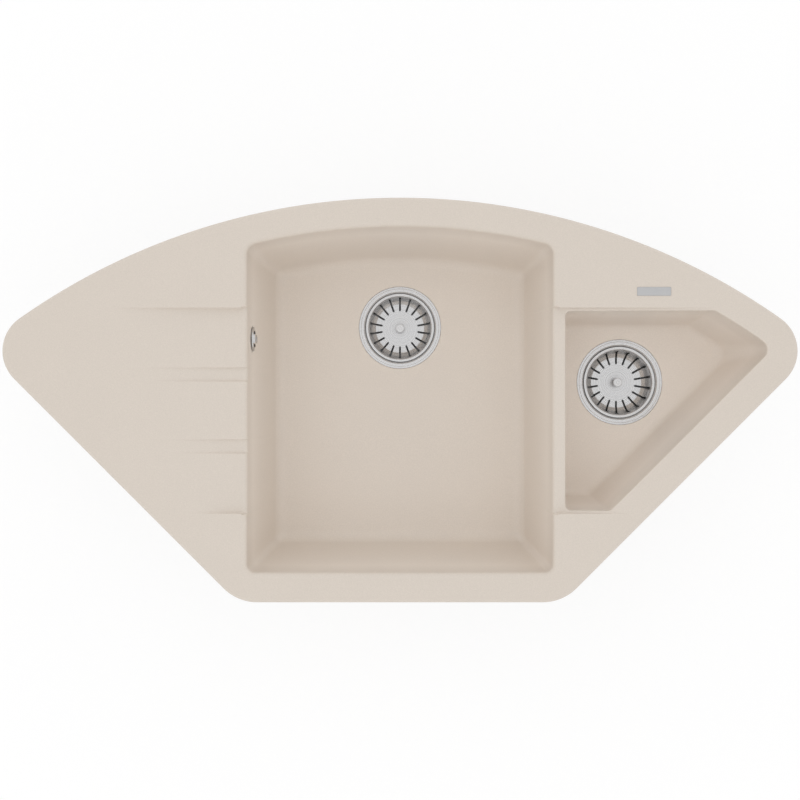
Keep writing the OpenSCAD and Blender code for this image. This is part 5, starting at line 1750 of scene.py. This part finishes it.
class SINK_OT_hose(bpy.types.Operator):
    """Make the ribbed hose from the elbow to the main waste, and its two nuts"""
    bl_idname = "sink.hose"
    bl_label = "Overflow hose"

    def execute(self, context):
        sizes, waste = context.scene.sink_overflow, context.scene.sink_wastes
        way = hose_way()
        along = Vector((-math.cos(way), -math.sin(way), 0))
        upper = middle_of("overflow_upper_nut")
        start = Vector((upper.x, upper.y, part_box("overflow_elbow")[0].z))
        end = drain_place("main") - along * waste.spigot_end - Vector((0, 0, waste.spigot_drop))
        route, whole = self.route(sizes.bend, start, end, along)
        piece = wire_piece("ribbed_hose", route, [(i, i + 1) for i in range(len(route) - 1)])
        plain = 2 * sizes.hose_r
        grey = finish_of("grey_moulding")
        run_tree(piece, hose_tree, ribs=int((whole - 2 * plain) / sizes.pitch), rib_radius=sizes.hose_r,
                 valley_radius=sizes.valley_r, bore_radius=sizes.bore_r, plain_end=plain, material=grey)
        close_mesh(piece.data)
        finish_piece(piece, ROOT, "overflow_hose", grey, 50)
        inner, r, half = waste.spigot_r + 0.0003, sizes.nut_r - 0.0007, sizes.nut_l / 2
        profile = soften([(inner, -half), (r, -half), (r, half), (inner, half)],
                         [0.0006, 0.0014, 0.0014, 0.0006], 4)
        lying = Matrix.Rotation(way, 4, "Z") @ Matrix.Rotation(math.pi / 2, 4, "Y")
        for node, place, turn in (
                ("overflow_upper_nut", start, Matrix.Identity(4)), ("overflow_lower_nut", end, lying)):
            nut = make_piece(node + "_ribbed", [lathe(profile, 96)])
            grip = round_bar(0.0009, 0.0016 - half, half - 0.0016, 10, 0.0006)
            rib = make_piece("rib", [moved(grip, (r - 0.0002, 0, 0))])
            run_tree(nut, rib_tree, tool=rib, count=24, start=0.0, material=grey)
            nut.data.transform(turn)
            set_down(nut, place, ROOT, node, grey)
        return {"FINISHED"}

    def route(self, bend, start, end, along):
        """The hose's path, down from its start and round a bend to its end, and its length"""
        down = start.z - end.z - bend
        route = [start - Vector((0, 0, down * share)) for share in np.linspace(0, 1, 12)]
        for a in angles(0, 90, 33)[1:]:
            drop = Vector((0, 0, down + bend * math.sin(a)))
            route.append(start + along * bend * (1 - math.cos(a)) - drop)
        level = (end - route[-1]).length
        route += [route[-1] + along * level * share for share in np.linspace(0, 1, 14)[1:]]
        return route, down + bend * math.pi / 2 + level


# The clips

class SINK_OT_clips(bpy.types.Operator):
    """Make the six clips: their inserts, their screws and their claws"""
    bl_idname = "sink.clips"
    bl_label = "Clips"

    def execute(self, context):
        sizes = context.scene.sink_clips
        places = clip_places(Plan())
        brass, zinc = finish_of("turned_brass"), finish_of("zinc_plate")
        low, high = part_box("clip_inserts")
        steps = insert_profile(sizes.screw_r + PLAY, sizes.insert_r - PLAY, 0.00045, low.z, high.z)
        insert = make_piece("insert", [lathe(soften(steps, 0.00015, 2), 48)])
        inserts = wire_piece("brass_inserts", [(x, y, 0) for x, y, way in places])
        run_tree(inserts, copies_tree, part=insert, material=brass)
        finish_piece(inserts, ROOT, "clip_inserts", brass, 30)
        for k, (x, y, way) in enumerate(places, 1):
            screw, claw = self.screw(sizes, k, zinc), self.claw(sizes, k)
            claw.data.transform(Matrix.Rotation(way, 4, "Z"))
            for kind, piece in (("screw", screw), ("claw", claw)):
                body, node = "clip_" + str(k) + "_" + kind, "clip_" + kind + "_" + str(k)
                set_down(piece, (x, y, 0), body, node, zinc, 30)
        return {"FINISHED"}

    def screw(self, sizes, k, zinc):
        """A clip's screw with its thread and its hexagon head"""
        low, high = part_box("clip_screw_" + str(k))
        seat = low.z + sizes.head_h - 0.0001
        rows = [(sizes.screw_r, z) for z in np.linspace(seat + 0.004, high.z - 0.0008, 130)]
        profile = [(0, seat - 0.001), (sizes.screw_r, seat - 0.001), *rows]
        profile += [(sizes.screw_r - 0.0008, high.z), (0, high.z)]
        piece = make_piece("clip_" + str(k) + "_bolt", [turned_solid(profile, 32)])
        run_tree(piece, thread_tree, pitch=0.00125, depth=0.0005, low=seat + 0.004, high=high.z + 0.001,
                 radius=sizes.screw_r - 0.0002, material=zinc)
        points, faces = plate(hexagon(sizes.head_r), -seat, -low.z, 0.0007)
        join(piece, (points * [1, 1, -1], faces))
        return piece

    def claw(self, sizes, k):
        """A clip's claw, bent from a strip, with teeth on its tip"""
        t, half, low, reach = sizes.claw_t, sizes.claw_w / 2, sizes.low, sizes.reach
        top = low + t + sizes.tip_h
        outer = soften([
            (-half - OVERLAP, low), (reach, low), (reach, top), (reach - t, top),
            (reach - t, low + t), (-half - OVERLAP, low + t),
        ], [0, 0.0035, 0.0005, 0.0005, 0.0012, 0], 5)
        piece = make_piece("clip_" + str(k) + "_bent_claw", [upright(plate(np.array(outer), -half, half))])
        ring = np.concatenate([
            half * around(angles(90, 270, 25)),
            [[reach + OVERLAP, -half], [reach + OVERLAP, half]]])
        carve(piece, make_piece("outline", [plate(ring, low - OVERLAP, top + OVERLAP)]), "INTERSECT")
        tools = [round_bar(sizes.screw_r + 0.0001, low - OVERLAP, low + t + OVERLAP, 40)]
        notch = np.array([[-0.0011, 0.0004], [0, -0.0016], [0.0011, 0.0004]])
        for y in (-0.0036, 0, 0.0036):
            points, faces = plate(notch + [y, top], reach - t - OVERLAP, reach + OVERLAP)
            tools.append((points[:, [2, 0, 1]], faces))
        cut(piece, *tools)
        return piece


# Stage

class SINK_OT_stage(bpy.types.Operator):
    """Make the pale floor, the soft light and the camera"""
    bl_idname = "sink.stage"
    bl_label = "Stage"

    def execute(self, context):
        scene = context.scene
        stage = scene.sink_stage
        self.floor(stage)
        scene.world = self.studio(stage)
        self.lamp(scene, stage)
        lens = bpy.data.cameras.new("camera")
        lens.lens = stage.lens
        lens.sensor_width = 36
        camera = bpy.data.objects.new("camera", lens)
        camera.location = (0, 0, stage.camera_height)
        scene.collection.objects.link(camera)
        scene.camera = camera
        scene.view_settings.view_transform = "Standard"
        return {"FINISHED"}

    def floor(self, stage):
        """The pale floor at the sink's lowest point, which shows white but keeps the shadow"""
        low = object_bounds()[0].z
        size = stage.floor_size / 2
        ring = np.array([[-size, -size], [size, -size], [size, size], [-size, size]])
        floor = make_piece("floor", [(lift(ring, low), [[0, 1, 2, 3]])])
        material = bpy.data.materials.new("pale_floor")
        material.use_nodes = True
        tree = material.node_tree
        tree.nodes.remove(tree.nodes["Principled BSDF"])
        matt = put(tree, "ShaderNodeBsdfDiffuse", {"Color": (*stage.floor, 1), "Roughness": 1.0})
        glow = put(tree, "ShaderNodeEmission", {"Color": (1, 1, 1, 1), "Strength": 1.1})
        seen = math_of(tree, "MULTIPLY", self.seen_rays(tree), 0.72)
        mix = put(tree, "ShaderNodeMixShader", {0: seen, 1: matt.outputs[0], 2: glow.outputs[0]})
        tree.links.new(mix.outputs[0], tree.nodes["Material Output"].inputs["Surface"])
        floor.data.materials.append(material)
        floor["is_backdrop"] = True

    def studio(self, stage):
        """A world that lights from all round, and shows white"""
        world = bpy.data.worlds.new("studio")
        world.use_nodes = True
        tree = world.node_tree
        light = tree.nodes["Background"]
        light.inputs["Color"].default_value = (*stage.sky, 1)
        height = split(tree, put(tree, "ShaderNodeTexCoord").outputs["Generated"])["Z"]
        level = vary(tree, height, stage.horizon_level, stage.sky_level, 0.0, 1.0)
        tree.links.new(level, light.inputs["Strength"])
        white = put(tree, "ShaderNodeBackground", {"Color": (1, 1, 1, 1), "Strength": 1.0})
        mix = put(tree, "ShaderNodeMixShader", {
            0: self.seen_rays(tree), 1: light.outputs[0], 2: white.outputs[0]})
        tree.links.new(mix.outputs[0], tree.nodes["World Output"].inputs["Surface"])
        return world

    def lamp(self, scene, stage):
        """A soft lamp over the sink"""
        lamp = bpy.data.lights.new("soft_lamp", "AREA")
        lamp.shape = "DISK"
        lamp.size = stage.lamp_size
        lamp.energy = stage.lamp_power
        holder = bpy.data.objects.new("soft_lamp", lamp)
        holder.visible_glossy = False
        holder.location = stage.lamp_place
        holder.rotation_euler = (-Vector(stage.lamp_place)).to_track_quat("-Z", "Y").to_euler()
        scene.collection.objects.link(holder)

    def seen_rays(self, tree):
        """One for the rays that show a thing to the camera, straight or in metal"""
        rays = put(tree, "ShaderNodeLightPath").outputs
        both = math_of(tree, "ADD", rays["Is Camera Ray"], rays["Is Glossy Ray"])
        return math_of(tree, "ADD", both, rays["Is Transmission Ray"], use_clamp=True)


class SINK_PT_panel(bpy.types.Panel):
    """The steps that build the sink"""
    bl_idname = "SINK_PT_panel"
    bl_label = "Kitchen Sink"
    bl_space_type = "VIEW_3D"
    bl_region_type = "UI"
    bl_category = "Sink"

    def draw(self, context):
        for step in STEPS:
            self.layout.operator(step.bl_idname)


GROUPS = {
    "sink_rim": RimSizes,
    "sink_bowls": BowlSizes,
    "sink_drainer": DrainerSizes,
    "sink_strainers": StrainerSizes,
    "sink_wastes": WasteSizes,
    "sink_overflow": OverflowSizes,
    "sink_clips": ClipSizes,
    "sink_finishes": Finishes,
    "sink_stage": StageSettings,
}
STEPS = (
    SINK_OT_body,
    SINK_OT_seal,
    SINK_OT_badge,
    SINK_OT_cups,
    SINK_OT_baskets,
    SINK_OT_stoppers,
    SINK_OT_gaskets,
    SINK_OT_wastes,
    SINK_OT_screws,
    SINK_OT_cover,
    SINK_OT_elbow,
    SINK_OT_hose,
    SINK_OT_clips,
    SINK_OT_stage,
)


def register():
    """Register the sizes, the steps and the panel"""
    for name, group in GROUPS.items():
        bpy.utils.register_class(group)
        setattr(bpy.types.Scene, name, PointerProperty(type=group))
    for step in STEPS:
        bpy.utils.register_class(step)
    bpy.utils.register_class(SINK_PT_panel)


def unregister():
    """Take away what register added"""
    bpy.utils.unregister_class(SINK_PT_panel)
    for step in reversed(STEPS):
        bpy.utils.unregister_class(step)
    for name, group in GROUPS.items():
        delattr(bpy.types.Scene, name)
        bpy.utils.unregister_class(group)


def main():
    """Build the whole sink"""
    register()
    for step in STEPS:
        group, name = step.bl_idname.split(".")
        getattr(getattr(bpy.ops, group), name)()
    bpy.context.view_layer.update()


if __name__ == "__main__":
    main()
